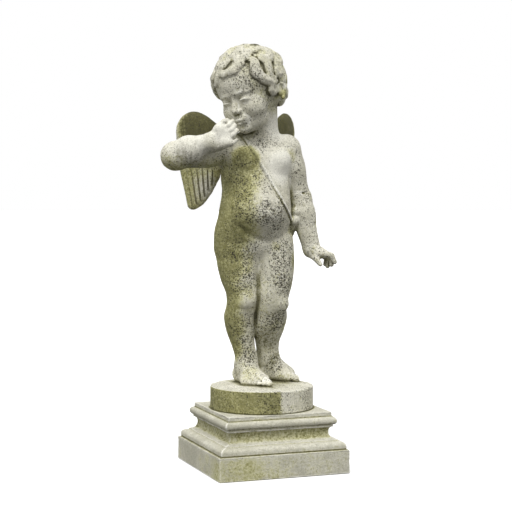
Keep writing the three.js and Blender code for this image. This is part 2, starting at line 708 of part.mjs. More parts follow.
// Distances on a grid round the clay, worked out only in the blocks its skin passes through.
function sampled(clay, step) {
  const block = 8;
  const pad = 2 * step;
  const lo = clay.lo.map((v) => v - pad);
  const blocks = clay.hi.map((v, i) => ceil((v + pad - lo[i]) / step / block));
  const n = blocks.map((b) => b * block + 1);
  const value = new Float32Array(n[0] * n[1] * n[2]).fill(1000);
  const size = block * step;
  const reach = size * 0.9;
  for (let i = 0; i < blocks[0]; i++) {
    for (let j = 0; j < blocks[1]; j++) {
      for (let k = 0; k < blocks[2]; k++) {
        const corner = [i, j, k].map((b, axis) => lo[axis] + b * size);
        const far = corner.map((v) => v + size);
        const local = clay.near(corner, far, reach);
        const middle = local.at(corner.map((v) => v + size / 2));
        if (middle > reach * 1.2) continue;
        const solid = middle < -reach * 1.2;
        const here = solid ? null : clay.near(corner, far, 12);
        for (let a = 0; a <= block; a++) {
          for (let b = 0; b <= block; b++) {
            for (let c = 0; c <= block; c++) {
              const index = ((i * block + a) * n[1] + j * block + b) * n[2] + k * block + c;
              value[index] = solid ? -1000
                : here.distance(corner[0] + a * step, corner[1] + b * step, corner[2] + c * step);
            }
          }
        }
      }
    }
  }
  return { value, n, lo, step };
}

// Fill the grid wherever two solid corners would only touch across a diagonal, so the skin never pinches.
function settled({ value, n, lo, step }) {
  const strides = [n[1] * n[2], n[2], 1];
  const fill = (cells) => {
    const open = cells.filter((c) => value[c] >= 0);
    value[open.reduce((p, q) => (value[q] < value[p] ? q : p))] = -0.01;
  };
  let again = true;
  while (again) {
    again = false;
    for (let i = 0; i < n[0] - 1; i++) {
      for (let j = 0; j < n[1] - 1; j++) {
        for (let k = 0; k < n[2] - 1; k++) {
          const c = i * strides[0] + j * strides[1] + k;
          if (abs(value[c]) > 3 * step) continue;
          for (const [p, q] of [[strides[0], strides[1]], [strides[1], strides[2]], [strides[2], strides[0]]]) {
            const [v0, v1, v2, v3] = [c, c + p, c + p + q, c + q].map((x) => value[x] < 0);
            if (v0 === v2 && v1 === v3 && v0 !== v1) {
              fill([c, c + p, c + p + q, c + q]);
              again = true;
            }
          }
          const all = [];
          for (let m = 0; m < 8; m++) {
            all.push(c + (m & 1) * strides[0] + ((m >> 1) & 1) * strides[1] + (m >> 2) * strides[2]);
          }
          const solid = all.map((x) => value[x] < 0);
          const count = solid.filter(Boolean).length;
          for (let m = 0; m < 4; m++) {
            const pair = solid[m] === solid[7 - m] && count === (solid[m] ? 2 : 6);
            if (pair) {
              fill(all);
              again = true;
            }
          }
        }
      }
    }
  }
  return { value, n, lo, step };
}

// One point in every cube the skin passes through, joined across every grid edge it cuts.
function skin({ value, n, lo, step }) {
  const strides = [n[1] * n[2], n[2], 1];
  const points = [];
  const faces = [];
  const index = new Int32Array(value.length).fill(-1);
  const edges = [];
  for (let m = 0; m < 8; m++) {
    for (let axis = 0; axis < 3; axis++) if (!((m >> axis) & 1)) edges.push([m, m | (1 << axis), axis]);
  }
  const corner = (m) => (m & 1) * strides[0] + ((m >> 1) & 1) * strides[1] + (m >> 2) * strides[2];
  const offsets = [0, 1, 2, 3, 4, 5, 6, 7].map(corner);
  for (let i = 0; i < n[0] - 1; i++) {
    for (let j = 0; j < n[1] - 1; j++) {
      for (let k = 0; k < n[2] - 1; k++) {
        const c = i * strides[0] + j * strides[1] + k;
        const first = value[c] < 0;
        if (offsets.every((o) => value[c + o] < 0 === first)) continue;
        const sum = [0, 0, 0];
        let hits = 0;
        for (const [p, q, axis] of edges) {
          const [a, b] = [value[c + offsets[p]], value[c + offsets[q]]];
          if (a < 0 === b < 0) continue;
          const at = [p & 1, (p >> 1) & 1, p >> 2];
          at[axis] += a / (a - b);
          for (let x = 0; x < 3; x++) sum[x] += at[x];
          hits++;
        }
        index[c] = points.length;
        points.push([i, j, k].map((g, x) => lo[x] + (g + sum[x] / hits) * step));
      }
    }
  }
  for (let i = 1; i < n[0] - 1; i++) {
    for (let j = 1; j < n[1] - 1; j++) {
      for (let k = 1; k < n[2] - 1; k++) {
        const c = i * strides[0] + j * strides[1] + k;
        for (let axis = 0; axis < 3; axis++) {
          const inside = value[c] < 0;
          if (inside === value[c + strides[axis]] < 0) continue;
          const [p, q] = [strides[(axis + 1) % 3], strides[(axis + 2) % 3]];
          const ring = [c - p - q, c - q, c, c - p].map((x) => index[x]);
          if (!inside) ring.reverse();
          const [r0, r1, r2, r3] = ring.map((v) => points[v]);
          const short = norm(r0[0] - r2[0], r0[1] - r2[1], r0[2] - r2[2]) <
            norm(r1[0] - r3[0], r1[1] - r3[1], r1[2] - r3[2]);
          if (short) faces.push([ring[0], ring[1], ring[2]], [ring[0], ring[2], ring[3]]);
          else faces.push([ring[1], ring[2], ring[3]], [ring[1], ring[3], ring[0]]);
        }
      }
    }
  }
  return { points, faces };
}

// Only the outer skin: the largest connected shell, without bubbles.
function outerShell({ points, faces }) {
  const parent = points.map((p, i) => i);
  const root = (i) => {
    while (parent[i] !== i) {
      parent[i] = parent[parent[i]];
      i = parent[i];
    }
    return i;
  };
  for (const [a, b, c] of faces) {
    parent[root(a)] = root(b);
    parent[root(b)] = root(c);
  }
  const count = new Map();
  for (const f of faces) count.set(root(f[0]), (count.get(root(f[0])) ?? 0) + 1);
  const [largest] = [...count].sort((p, q) => q[1] - p[1])[0];
  return { points, faces: faces.filter((f) => root(f[0]) === largest) };
}

// ---------------------------------------------------------------- thinning
// Edges are drawn together one by one, cheapest first, where the sum of squared distances
// to the planes round them stays smallest. No fold, pinch or needle is ever made.

function thinned({ points, faces }, target) {
  const pos = points.map((p) => [...p]);
  const tri = faces.map((f) => [...f]);
  const alive = new Uint8Array(tri.length).fill(1);
  const around = pos.map(() => new Set());
  tri.forEach((f, i) => f.forEach((v) => around[v].add(i)));
  const quadric = pos.map(() => new Float64Array(10));
  const normalOf = (a, b, c) => {
    const [ux, uy, uz] = [b[0] - a[0], b[1] - a[1], b[2] - a[2]];
    const [vx, vy, vz] = [c[0] - a[0], c[1] - a[1], c[2] - a[2]];
    return [uy * vz - uz * vy, uz * vx - ux * vz, ux * vy - uy * vx];
  };
  for (const f of tri) {
    const n = normalOf(pos[f[0]], pos[f[1]], pos[f[2]]);
    const size = norm(...n) || 1;
    const [a, b, c] = n.map((v) => v / size);
    const d = -(a * pos[f[0]][0] + b * pos[f[0]][1] + c * pos[f[0]][2]);
    const q = [a * a, a * b, a * c, a * d, b * b, b * c, b * d, c * c, c * d, d * d];
    for (const v of f) for (let k = 0; k < 10; k++) quadric[v][k] += (q[k] * size) / 2;
  }
  const square = (p, q) => (p[0] - q[0]) ** 2 + (p[1] - q[1]) ** 2 + (p[2] - q[2]) ** 2;
  const edgeOf = (t) => max(square(t[0], t[1]), square(t[1], t[2]), square(t[2], t[0]));
  const errorAt = (q, x, y, z) =>
    q[0] * x * x + 2 * q[1] * x * y + 2 * q[2] * x * z + 2 * q[3] * x + q[4] * y * y +
    2 * q[5] * y * z + 2 * q[6] * y + q[7] * z * z + 2 * q[8] * z + q[9];
  const bestPlace = (a, b) => {
    const q = quadric[a].map((v, k) => v + quadric[b][k]);
    const [pa, pb] = [pos[a], pos[b]];
    const choices = [mix(pa, pb, 0.5), pa, pb];
    const [A, B, C, D, E, F] = [q[0], q[1], q[2], q[4], q[5], q[7]];
    const det = A * (D * F - E * E) - B * (B * F - E * C) + C * (B * E - D * C);
    const scale = A + D + F;
    if (det > 1e-4 * scale ** 3) {
      const [r, s, t] = [-q[3], -q[6], -q[8]];
      const x = (r * (D * F - E * E) - B * (s * F - E * t) + C * (s * E - D * t)) / det;
      const y = (A * (s * F - E * t) - r * (B * F - E * C) + C * (B * t - s * C)) / det;
      const z = (A * (D * t - s * E) - B * (B * t - s * C) + r * (B * E - D * C)) / det;
      const reach = norm(pa[0] - pb[0], pa[1] - pb[1], pa[2] - pb[2]);
      if (norm(x - choices[0][0], y - choices[0][1], z - choices[0][2]) < reach) {
        choices.unshift([x, y, z]);
      }
    }
    let best = null;
    for (const p of choices) {
      const cost = errorAt(q, ...p);
      if (best === null || cost < best.cost) best = { cost, p };
    }
    const long = (pa[0] - pb[0]) ** 2 + (pa[1] - pb[1]) ** 2 + (pa[2] - pb[2]) ** 2;
    return { cost: max(best.cost, 0) + long * 0.002, p: best.p, a, b };
  };
  const heap = [];
  const push = (item) => {
    let i = heap.push(item) - 1;
    while (i > 0) {
      const up = (i - 1) >> 1;
      if (heap[up].cost <= item.cost) break;
      heap[i] = heap[up];
      i = up;
    }
    heap[i] = item;
  };
  const pop = () => {
    const top = heap[0];
    const item = heap.pop();
    if (heap.length > 0) {
      let i = 0;
      for (;;) {
        let child = 2 * i + 1;
        if (child >= heap.length) break;
        if (child + 1 < heap.length && heap[child + 1].cost < heap[child].cost) child++;
        if (heap[child].cost >= item.cost) break;
        heap[i] = heap[child];
        i = child;
      }
      heap[i] = item;
    }
    return top;
  };
  const age = new Uint32Array(pos.length);
  const gone = new Uint8Array(pos.length);
  const neighbours = (v) => {
    const found = new Set();
    for (const f of around[v]) for (const w of tri[f]) if (w !== v) found.add(w);
    return found;
  };
  const offer = (a, b) => push({ ...bestPlace(a, b), ageA: age[a], ageB: age[b] });
  let left = tri.length;
  for (let v = 0; v < pos.length; v++) for (const w of neighbours(v)) if (w > v) offer(v, w);
  while (left > target && heap.length > 0) {
    const { a, b, p, ageA, ageB } = pop();
    if (gone[a] || gone[b] || age[a] !== ageA || age[b] !== ageB) continue;
    const nearB = neighbours(b);
    const shared = [...neighbours(a)].filter((v) => nearB.has(v));
    if (shared.length !== 2) continue;
    let sound = true;
    for (const [v, w] of [[a, b], [b, a]]) {
      for (const f of around[v]) {
        if (around[w].has(f)) continue;
        const before = tri[f].map((i) => pos[i]);
        const after = tri[f].map((i) => (i === v ? p : pos[i]));
        const [m, n] = [normalOf(...before), normalOf(...after)];
        const [sm, sn] = [norm(...m), norm(...n)];
        const turn = (m[0] * n[0] + m[1] * n[1] + m[2] * n[2]) / (sm * sn + 1e-12);
        if (turn < 0.3 || (sn < 0.08 * edgeOf(after) && sn * edgeOf(before) < sm * edgeOf(after))) {
          sound = false;
          break;
        }
      }
      if (!sound) break;
    }
    if (!sound) continue;
    for (const f of [...around[b]]) {
      if (around[a].has(f)) {
        alive[f] = 0;
        left--;
        for (const v of tri[f]) around[v].delete(f);
      } else {
        tri[f][tri[f].indexOf(b)] = a;
        around[a].add(f);
      }
    }
    around[b].clear();
    gone[b] = 1;
    pos[a] = p;
    for (let k = 0; k < 10; k++) quadric[a][k] += quadric[b][k];
    age[a]++;
    for (const w of neighbours(a)) offer(a, w);
  }
  return { points: pos, faces: tri.filter((f, i) => alive[i]) };
}

// ---------------------------------------------------------------- plinth

// A square moulding: the profile (half width, height) mitred round four corners, flat top and bottom.
function squareMoulding(profile) {
  const points = [];
  const faces = [];
  for (const [half, z] of profile) {
    for (const [x, y] of [[-1, -1], [1, -1], [1, 1], [-1, 1]]) points.push([x * half, y * half, z]);
  }
  for (let i = 0; i + 1 < profile.length; i++) {
    for (let j = 0; j < 4; j++) {
      const [a, b] = [4 * i + j, 4 * i + ((j + 1) % 4)];
      faces.push([a, b, b + 4], [a, b + 4, a + 4]);
    }
  }
  const top = points.length - 4;
  faces.push([0, 2, 1], [0, 3, 2], [top, top + 1, top + 2], [top, top + 2, top + 3]);
  return { points, faces };
}

// Points round part of an ellipse, from one angle to another, in degrees.
function bend(centre, radii, from, to, steps) {
  const points = [];
  for (let i = 0; i <= steps; i++) {
    const a = (from + ((to - from) * i) / steps) * DEG;
    points.push([centre[0] + radii[0] * cos(a), centre[1] + radii[1] * sin(a)]);
  }
  return points;
}

// The plinth's profile, from the ground up: block, roll, fillet, scotia, fillet, torus, slab.
function plinthProfile() {
  return [
    [PLINTH_HALF - 1.5, 0],
    [PLINTH_HALF, 1.5],
    [PLINTH_HALF, BLOCK_TOP - 1.5],
    [PLINTH_HALF - 1.5, BLOCK_TOP],
    [168, BLOCK_TOP + 0.5],
    [169, BLOCK_TOP + 4.5],
    ...bend([156, 69], [13, 11.5], 0, 86, 6),
    [152.6, 81.2],
    [151.6, 84.6],
    ...bend([151, 102.5], [17.5, 17.5], 268, 180, 6),
    ...bend([141, 104], [7.5, 12], 172, 100, 4),
    [142.5, 116.5],
    [142.5, 121.5],
    ...bend([142, 132.3], [8.6, 10], -84, 84, 8),
    [140, 143],
    [140, 152.5],
    [138.5, PLINTH_TOP],
  ];
}

// ---------------------------------------------------------------- the two stones

function stone(name, { points, faces }, colour) {
  const geometry = new THREE.BufferGeometry();
  geometry.setAttribute("position", new THREE.Float32BufferAttribute(points.flat(), 3));
  geometry.setIndex(faces.flat());
  const flat = geometry.toNonIndexed();
  flat.computeVertexNormals();
  const material = new THREE.MeshStandardMaterial({ color: colour, roughness: 0.92, metalness: 0 });
  const mesh = new THREE.Mesh(flat, material);
  mesh.name = name;
  return mesh;
}

function statue() {
  const fine = outerShell(skin(settled(sampled(figure(), GRID))));
  const body = thinned(fine, FIGURE_FACETS);
  // the round base sits flat
  for (const p of body.points) if (p[2] < PLINTH_TOP + GAP + 0.2) p[2] = PLINTH_TOP + GAP;
  const group = new THREE.Group();
  group.name = "putto_statue";
  group.add(stone("putto_figure", body, "#a9a58f"));
  group.add(stone("square_plinth", squareMoulding(plinthProfile()), "#b4b0a0"));
  return group;
}

export default statue();
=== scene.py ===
"""A weathered stone putto with wings, a cord and a quiver, on a round base and a moulded square plinth."""
from math import sin, cos, hypot, pi
import bpy
import numpy as np
from mathutils import Matrix, Vector


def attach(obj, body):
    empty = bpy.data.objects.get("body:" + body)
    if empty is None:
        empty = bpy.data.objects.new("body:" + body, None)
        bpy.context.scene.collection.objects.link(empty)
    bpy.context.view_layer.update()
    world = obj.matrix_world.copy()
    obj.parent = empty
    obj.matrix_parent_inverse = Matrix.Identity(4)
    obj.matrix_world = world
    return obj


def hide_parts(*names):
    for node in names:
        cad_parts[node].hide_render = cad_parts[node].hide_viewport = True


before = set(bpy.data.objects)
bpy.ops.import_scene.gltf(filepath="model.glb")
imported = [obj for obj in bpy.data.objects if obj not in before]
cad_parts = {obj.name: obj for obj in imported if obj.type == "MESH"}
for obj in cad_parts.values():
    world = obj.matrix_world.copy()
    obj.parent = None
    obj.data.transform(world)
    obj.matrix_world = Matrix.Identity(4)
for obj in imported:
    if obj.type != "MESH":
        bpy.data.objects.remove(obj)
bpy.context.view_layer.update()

# ---- clay: shapes as signed distances, in millimetres

FAR = 1e3             # further than anything on the object
TINY = 1e-9           # keeps a division from failing

def unit(v):
    v = np.asarray(v, np.float32)
    return v / np.linalg.norm(v)

def turned(yaw=0.0, pitch=0.0, roll=0.0):
    """Axes as columns: turned about Z, the new X and the new Y, in degrees."""
    y, p, r = np.radians([yaw, pitch, roll])
    rz = np.array([[np.cos(y), -np.sin(y), 0], [np.sin(y), np.cos(y), 0], [0, 0, 1]])
    rx = np.array([[1, 0, 0], [0, np.cos(p), -np.sin(p)], [0, np.sin(p), np.cos(p)]])
    ry = np.array([[np.cos(r), 0, np.sin(r)], [0, 1, 0], [-np.sin(r), 0, np.cos(r)]])
    return (rz @ rx @ ry).astype(np.float32)

class Shape:
    """A box that holds it, and a function that gives the signed distance of points."""
    def __init__(self, lo, hi, distance):
        self.lo, self.hi, self.distance = np.asarray(lo, float), np.asarray(hi, float), distance

def ball(centre, radii, axes=None):
    """An ellipsoid."""
    c = np.asarray(centre, np.float32)
    r = np.broadcast_to(np.asarray(radii, np.float32), 3)
    m = None if axes is None else np.asarray(axes, np.float32)
    def distance(p):
        q = p - c
        if m is not None:
            q = q @ m
        s = q / r
        k0 = np.sqrt(np.einsum("ij,ij->i", s, s))
        s = s / r
        k1 = np.sqrt(np.einsum("ij,ij->i", s, s)) + TINY
        return k0 * (k0 - 1) / k1
    reach = r if m is None else np.sqrt(((m * r) ** 2).sum(1))
    return Shape(c - reach, c + reach, distance)

def limb(a, b, ra, rb):
    """A tapered rod with round ends."""
    return path([a, b], [ra, rb])

def path(points, radii):
    """A bent rod: one tapered piece after another."""
    pts = [np.asarray(p, np.float32) for p in points]
    rad = [float(r) for r in np.broadcast_to(radii, len(pts))]
    def distance(p):
        best = None
        for a, b, ra, rb in zip(pts, pts[1:], rad, rad[1:]):
            ab = b - a
            q = p - a
            t = np.clip(q @ ab / (float(ab @ ab) + TINY), 0, 1)
            q = q - t[:, None] * ab
            d = np.sqrt(np.einsum("ij,ij->i", q, q)) - (ra + (rb - ra) * t)
            best = d if best is None else np.minimum(best, d)
        return best
    r = max(rad)
    return Shape(np.min(pts, 0) - r, np.max(pts, 0) + r, distance)

class Clay:
    """Strokes laid down in order: each is added to, or cut from, what is there already."""
    margin = 8.0          # how far off a distance still has to be true

    def __init__(self):
        self.strokes = []
        self.lo, self.hi = np.full(3, np.inf), np.full(3, -np.inf)

    def add(self, shape, blend=6.0):
        self.strokes.append((shape, blend, 1))
        self.lo, self.hi = np.minimum(self.lo, shape.lo), np.maximum(self.hi, shape.hi)

    def cut(self, shape, blend=3.0):
        self.strokes.append((shape, blend, -1))

    def distance(self, p):
        lo, hi = p.min(0), p.max(0)
        d = np.full(len(p), FAR, np.float32)
        for shape, blend, sign in self.strokes:
            reach = blend + Clay.margin
            if np.any(shape.lo - reach > hi) or np.any(shape.hi + reach < lo):
                continue
            e = shape.distance(p)
            if sign > 0:
                h = np.maximum(blend - np.abs(d - e), 0) / blend
                d = np.minimum(d, e) - h * h * blend / 4
            else:
                h = np.maximum(blend - np.abs(d + e), 0) / blend
                d = np.maximum(d, -e) + h * h * blend / 4
        return d

    def reaching(self, margin, p):
        """The distance of points, true as far off as margin."""
        keep, Clay.margin = Clay.margin, margin
        d = self.distance(p)
        Clay.margin = keep
        return d

    def at(self, point):
        return float(self.reaching(1e6, np.array([point], np.float32))[0])

def mesh_of(clay, step, block=12, pad=4.0):
    """The clay's surface as (points, quads) on a grid. Only blocks of cells near the surface are sampled."""
    lo = clay.lo - pad
    cells = np.ceil((clay.hi + pad - lo) / step).astype(int)
    blocks = -(-cells // block)
    value = np.full(blocks * block + 1, FAR, np.float32)
    size = block * step
    half = np.sqrt(3) / 2 * size
    near = half * 1.25 + 2
    axes = [lo[i] + (np.arange(blocks[i]) + 0.5) * size for i in range(3)]
    steps = np.arange(block + 1) * step
    local = np.stack(np.meshgrid(steps, steps, steps, indexing="ij"), -1).reshape(-1, 3).astype(np.float32)
    for i, x in enumerate(axes[0]):
        for j, y in enumerate(axes[1]):
            for k, z in enumerate(axes[2]):
                corner = np.array([x, y, z]) - size / 2
                at = tuple(slice(b * block, (b + 1) * block + 1) for b in (i, j, k))
                middle = float(clay.reaching(half * 1.3, np.array([[x, y, z]], np.float32))[0])
                if middle < -near:
                    value[at] = -FAR
                elif middle <= near:
                    value[at] = clay.distance(local + corner.astype(np.float32)).reshape((block + 1,) * 3)
    return surface_nets(value, lo, step)

def surface_nets(value, lo, step):
    """The zero surface of a grid of distances: a point in each mixed cell, a quad at each crossed edge."""
    inside = value < 0
    n = np.array(value.shape)
    def cube(a, i, j, k):
        return a[i:n[0] - 1 + i, j:n[1] - 1 + j, k:n[2] - 1 + k]
    total = np.zeros(n - 1, np.int8)
    corners = [(i, j, k) for i in (0, 1) for j in (0, 1) for k in (0, 1)]
    for c in corners:
        total += cube(inside, *c)
    mixed = (total > 0) & (total < 8)
    cell = np.argwhere(mixed)
    index = np.full(n - 1, -1, np.int32)
    index[mixed] = np.arange(len(cell))
    v = {c: value[cell[:, 0] + c[0], cell[:, 1] + c[1], cell[:, 2] + c[2]] for c in corners}
    sums = np.zeros((len(cell), 3))
    hits = np.zeros(len(cell))
    for c in corners:
        for axis in range(3):
            if c[axis]:
                continue
            e = list(c)
            e[axis] = 1
            a, b = v[c], v[tuple(e)]
            crossing = (a < 0) != (b < 0)
            t = np.where(crossing, a / np.where(crossing, a - b, 1), 0)
            at = np.tile(np.array(c, float), (len(cell), 1))
            at[:, axis] = t
            sums += at * crossing[:, None]
            hits += crossing
    points = lo + (cell + sums / hits[:, None]) * step
    quads = []
    for axis in range(3):
        o1, o2 = [(1, 2), (2, 0), (0, 1)][axis]
        a = inside[tuple(slice(1 if d != axis else 0, -1) for d in range(3))]
        b = inside[tuple(slice(1, -1) if d != axis else slice(1, None) for d in range(3))]
        cross = np.argwhere(a != b)
        base = cross + np.array([1 if d != axis else 0 for d in range(3)])
        flip = a[tuple(cross.T)]
        d1, d2 = np.zeros(3, int), np.zeros(3, int)
        d1[o1], d2[o2] = 1, 1
        ring = [base - d1 - d2, base - d2, base, base - d1]
        q = np.stack([index[tuple(r.T)] for r in ring], 1)
        q[~flip] = q[~flip][:, ::-1]
        quads.append(q)
    return points, np.concatenate(quads)

def off(p, x, y, z):
    return [p[0] + x, p[1] + y, p[2] + z]

def mix(a, b, t):
    return [a[i] * (1 - t) + b[i] * t for i in range(3)]

def toward(p, axes, x, y, z):
    """The point that lies x, y, z along the columns of axes from p."""
    return [p[i] + axes[i][0] * x + axes[i][1] * y + axes[i][2] * z for i in range(3)]

def stack(rows, cap=10.0):
    """A standing form, smooth between level sections (see TORSO), its ends rounded by cap."""
    table = np.array(sorted(rows), float)
    z = table[:, 0]
    fine = np.linspace(z[0], z[-1], 8 * len(z))
    # tangents by central differences, then cubic pieces
    slope = np.gradient(table[:, 1:], z, axis=0)
    k = np.clip(np.searchsorted(z, fine, side="right") - 1, 0, len(z) - 2)
    h = (z[k + 1] - z[k])[:, None]
    t = ((fine - z[k]) / h[:, 0])[:, None]
    a, b = table[k, 1:], table[k + 1, 1:]
    sa, sb = slope[k] * h, slope[k + 1] * h
    smooth = (2 * t**3 - 3 * t**2 + 1) * a + (t**3 - 2 * t**2 + t) * sa
    smooth = smooth + (3 * t**2 - 2 * t**3) * b + (t**3 - t**2) * sb
    def distance(p):
        at = np.clip(p[:, 2], z[0] + cap, z[-1] - cap)
        v = [np.interp(at, fine, smooth[:, i]).astype(np.float32) for i in range(5)]
        x, y = p[:, 0] - v[0], p[:, 1] - v[1]
        rx, ry = v[2], np.where(y < 0, v[3], v[4])
        k0 = np.sqrt((x / rx) ** 2 + (y / ry) ** 2)
        k1 = np.sqrt((x / rx**2) ** 2 + (y / ry**2) ** 2) + TINY
        side = np.where(k0 < 0.05, -np.minimum(rx, ry), k0 * (k0 - 1) / k1)
        over = np.abs(p[:, 2] - at)
        inner = side + cap
        end = np.sqrt(np.maximum(inner, 0) ** 2 + over**2) + np.minimum(inner, 0) - cap
        return np.where(over > 0, end, side).astype(np.float32)
    x, y, rx, front, back = smooth.T
    lo, hi = ((x - rx).min(), (y - front).min(), z[0]), ((x + rx).max(), (y + back).max(), z[-1])
    return Shape(lo, hi, distance)

def blade(a, b, ra, rb, ta, tb, normal):
    """A flat tapered rod with round edges: half widths ra and rb, half thicknesses ta and tb along normal."""
    a, b = np.asarray(a, np.float32), np.asarray(b, np.float32)
    ab = b - a
    n = unit(normal)
    def distance(p):
        q = p - a
        t = np.clip(q @ ab / (float(ab @ ab) + TINY), 0, 1)
        q = q - t[:, None] * ab
        r = ra + (rb - ra) * t
        s = ta + (tb - ta) * t
        h = q @ n
        w2 = np.maximum(np.einsum("ij,ij->i", q, q) - h * h, 0)
        k0 = np.sqrt(w2 / r**2 + (h / s) ** 2)
        k1 = np.sqrt(w2 / r**4 + (h / s**2) ** 2) + TINY
        return np.where(k0 < 0.05, -np.minimum(r, s), k0 * (k0 - 1) / k1)
    r = max(ra, rb, ta, tb)
    return Shape(np.minimum(a, b) - r, np.maximum(a, b) + r, distance)

def drum(foot, radius, height, edge):
    """An upright drum on foot, its edges rounded."""
    c = np.asarray(foot, np.float32) + np.array([0, 0, height / 2], np.float32)
    def distance(p):
        q = p - c
        r = np.hypot(q[:, 0], q[:, 1]) - (radius - edge)
        z = np.abs(q[:, 2]) - (height / 2 - edge)
        return np.minimum(np.maximum(r, z), 0) + np.hypot(np.maximum(r, 0), np.maximum(z, 0)) - edge
    reach = np.array([radius, radius, height / 2])
    return Shape(c - reach, c + reach, distance)

def girdle(body, point, normal, half_width, proud):
    """A cord laid round a body where a plane cuts it."""
    n, o, thin = unit(normal), np.asarray(point, np.float32), min(half_width, proud)
    def distance(p):
        side = np.abs((p - o) @ n)
        return np.hypot(side / half_width, body.distance(p) / proud) * thin - thin
    return Shape(body.lo - proud, body.hi + proud, distance)

DEG = pi / 180
DIAGONAL = 0.7071      # across and back alike: the wings stand at 45 degrees
MM = 0.001             # in metres
METRE = 1000           # in millimetres

# ---- driving sizes, in millimetres
PLINTH_TOP = 154.0
BLOCK_TOP = 61.0                      # of the plain block at the foot of the plinth
GAP = 0.3                             # between the plinth and the round base
DISC_RADIUS, DISC_HEIGHT = 134.0, 58.0
FLOOR = PLINTH_TOP + DISC_HEIGHT      # where the feet stand
FIGURE_STEP = 1.7                     # grid of the figure's mesh
FIGURE_FACES = 192000

# ---- skeleton
ANKLE_R, ANKLE_L = [-27, 45, 268], [45, 74, 278]
BELLY, CHEST = [-11, 12, 682], [-8, 20, 785]
NECK_BASE, HEAD = [3, 26, 850], [-28, 10, 988]
SHOULDER_R, ELBOW_R, WRIST_R = [-88, 26, 828], [-226, 29, 807], [-150, -48, 841]
SHOULDER_L, ELBOW_L, WRIST_L = [77, 29, 825], [116, 30, 697], [139, -4, 564]

# on the floor: heel, inner and outer side of the ball of the foot, big toe, small toe
SOLE_R = [[x, y, FLOOR] for x, y in ((-25, 73), (0, -16), (-42, 4), (4, -48), (-37, -10))]
SOLE_L = [[x, y, FLOOR] for x, y in ((32, 84), (84, 36), (100, 73), (106, 17), (121, 52))]

WING_HINGE = [0, 75]
STRAP_POINT, STRAP_NORMAL = [-18, -16, 799], [0.834, -0.213, 0.51]

# level sections: height, x, y, half width, depth in front, depth behind
TORSO = [
    [846, 0, 28, 66, 36, 36],
    [822, -4, 26, 88, 50, 46],
    [790, -7, 24, 92, 64, 50],
    [755, -11, 22, 92, 71, 50],
    [718, -10, 20, 90.5, 81, 46],
    [682, -12, 19, 93.5, 91, 46],
    [650, -14, 20, 97, 86, 52],
    [620, -17, 24, 101, 70, 62],
    [590, -17, 27, 102, 58, 68],
    [556, -14, 29, 98, 48, 66],
    [534, -10, 30, 84, 34, 52],
    [500, -9, 30, 58, 20, 34],
    [470, -8, 30, 30, 8, 16],
]
LEG_R = [
    [606, -46, 36, 58, 52, 54],
    [560, -53, 37, 57, 52, 54],
    [525, -54, 34, 54, 52, 50],
    [483, -51, 28, 48, 48, 46],
    [452, -47, 22, 42, 41, 41],
    [428, -47, 21, 40, 38, 37],
    [392, -51, 31, 39.5, 37, 42],
    [357, -46, 38, 37, 35, 41],
    [308, -34.5, 43, 30.5, 29, 31],
    [275, -26, 45, 28.5, 27, 27],
    [240, -26, 48, 27, 27, 27],
]
LEG_L = [
    [606, 38, 22, 52, 50, 54],
    [560, 42, 18, 52, 52, 52],
    [525, 42, 13, 50, 52, 50],
    [483, 39, 9, 48, 48, 46],
    [446, 33, 4, 43, 41, 40],
    [411, 31, 8, 40, 36, 37],
    [385, 34, 19, 42, 34, 40],
    [351, 33, 38, 42, 32, 37],
    [321, 37, 55, 33.5, 28, 31],
    [296, 41, 66, 30.5, 26, 27],
    [258, 43, 76, 30, 26, 26],
]

def torso():
    c = Clay()
    c.add(stack(TORSO))
    # shoulders, and the slope from the neck down to them
    c.add(limb(off(SHOULDER_R, 20, 0, -8), off(SHOULDER_L, -20, 0, -8), 36, 36), 20)
    c.add(limb(off(NECK_BASE, 2, 6, 4), off(SHOULDER_R, 16, 4, 0), 30, 26), 20)
    c.add(limb(off(NECK_BASE, 4, 6, 4), off(SHOULDER_L, -14, 2, 0), 30, 26), 20)
    # chest
    c.add(ball(off(CHEST, -40, -30, 14), [42, 34, 34]), 22)
    c.add(ball(off(CHEST, 40, -26, 12), [42, 34, 34]), 22)
    # round belly
    c.add(ball(off(BELLY, 2, -12, -14), [70, 72, 60]), 24)
    # shoulder blades
    c.add(ball(off(CHEST, -44, 34, 18), [38, 24, 44]), 18)
    c.add(ball(off(CHEST, 44, 36, 16), [38, 24, 44]), 18)
    # buttocks
    c.add(ball([-54, 60, 572], [50, 46, 48]), 14)
    c.add(ball([40, 52, 566], [48, 46, 48]), 14)
    # furrow of the back
    c.cut(limb([-8, 106, 540], [-10, 118, 618], 8, 3), 12)
    c.cut(limb([-10, 82, 640], [-4, 86, 800], 7, 6), 22)
    # groin folds under the belly
    c.cut(path([[-92, -46, 626], [-58, -48, 588], [-22, -38, 562]], [3, 3.5, 3.5]), 12)
    c.cut(path([[78, -44, 618], [44, -52, 584], [10, -40, 560]], [3, 3.5, 3.5]), 12)
    # hollow under the breast, breastbone, navel
    c.cut(limb(off(CHEST, 0, -70, 34), off(CHEST, 0, -76, -22), 4, 5), 16)
    c.cut(ball([-9, -80, 677], [6, 9, 9]), 8)
    return c

def right_leg():
    c = Clay()
    c.add(stack(LEG_R))
    c.add(ball([-44, -7, 434], [22, 14, 20]), 13)
    c.cut(path([[-64, -12, 413], [-46, -21, 408], [-30, -10, 411]], [1.5, 2, 1.5]), 8)
    return c

def left_leg():
    c = Clay()
    c.add(stack(LEG_L))
    c.add(ball([45, -23, 424], [21, 14, 20]), 13)
    c.cut(path([[26, -31, 397], [48, -35, 393], [66, -18, 396]], [1.5, 2, 1.5]), 8)
    return c

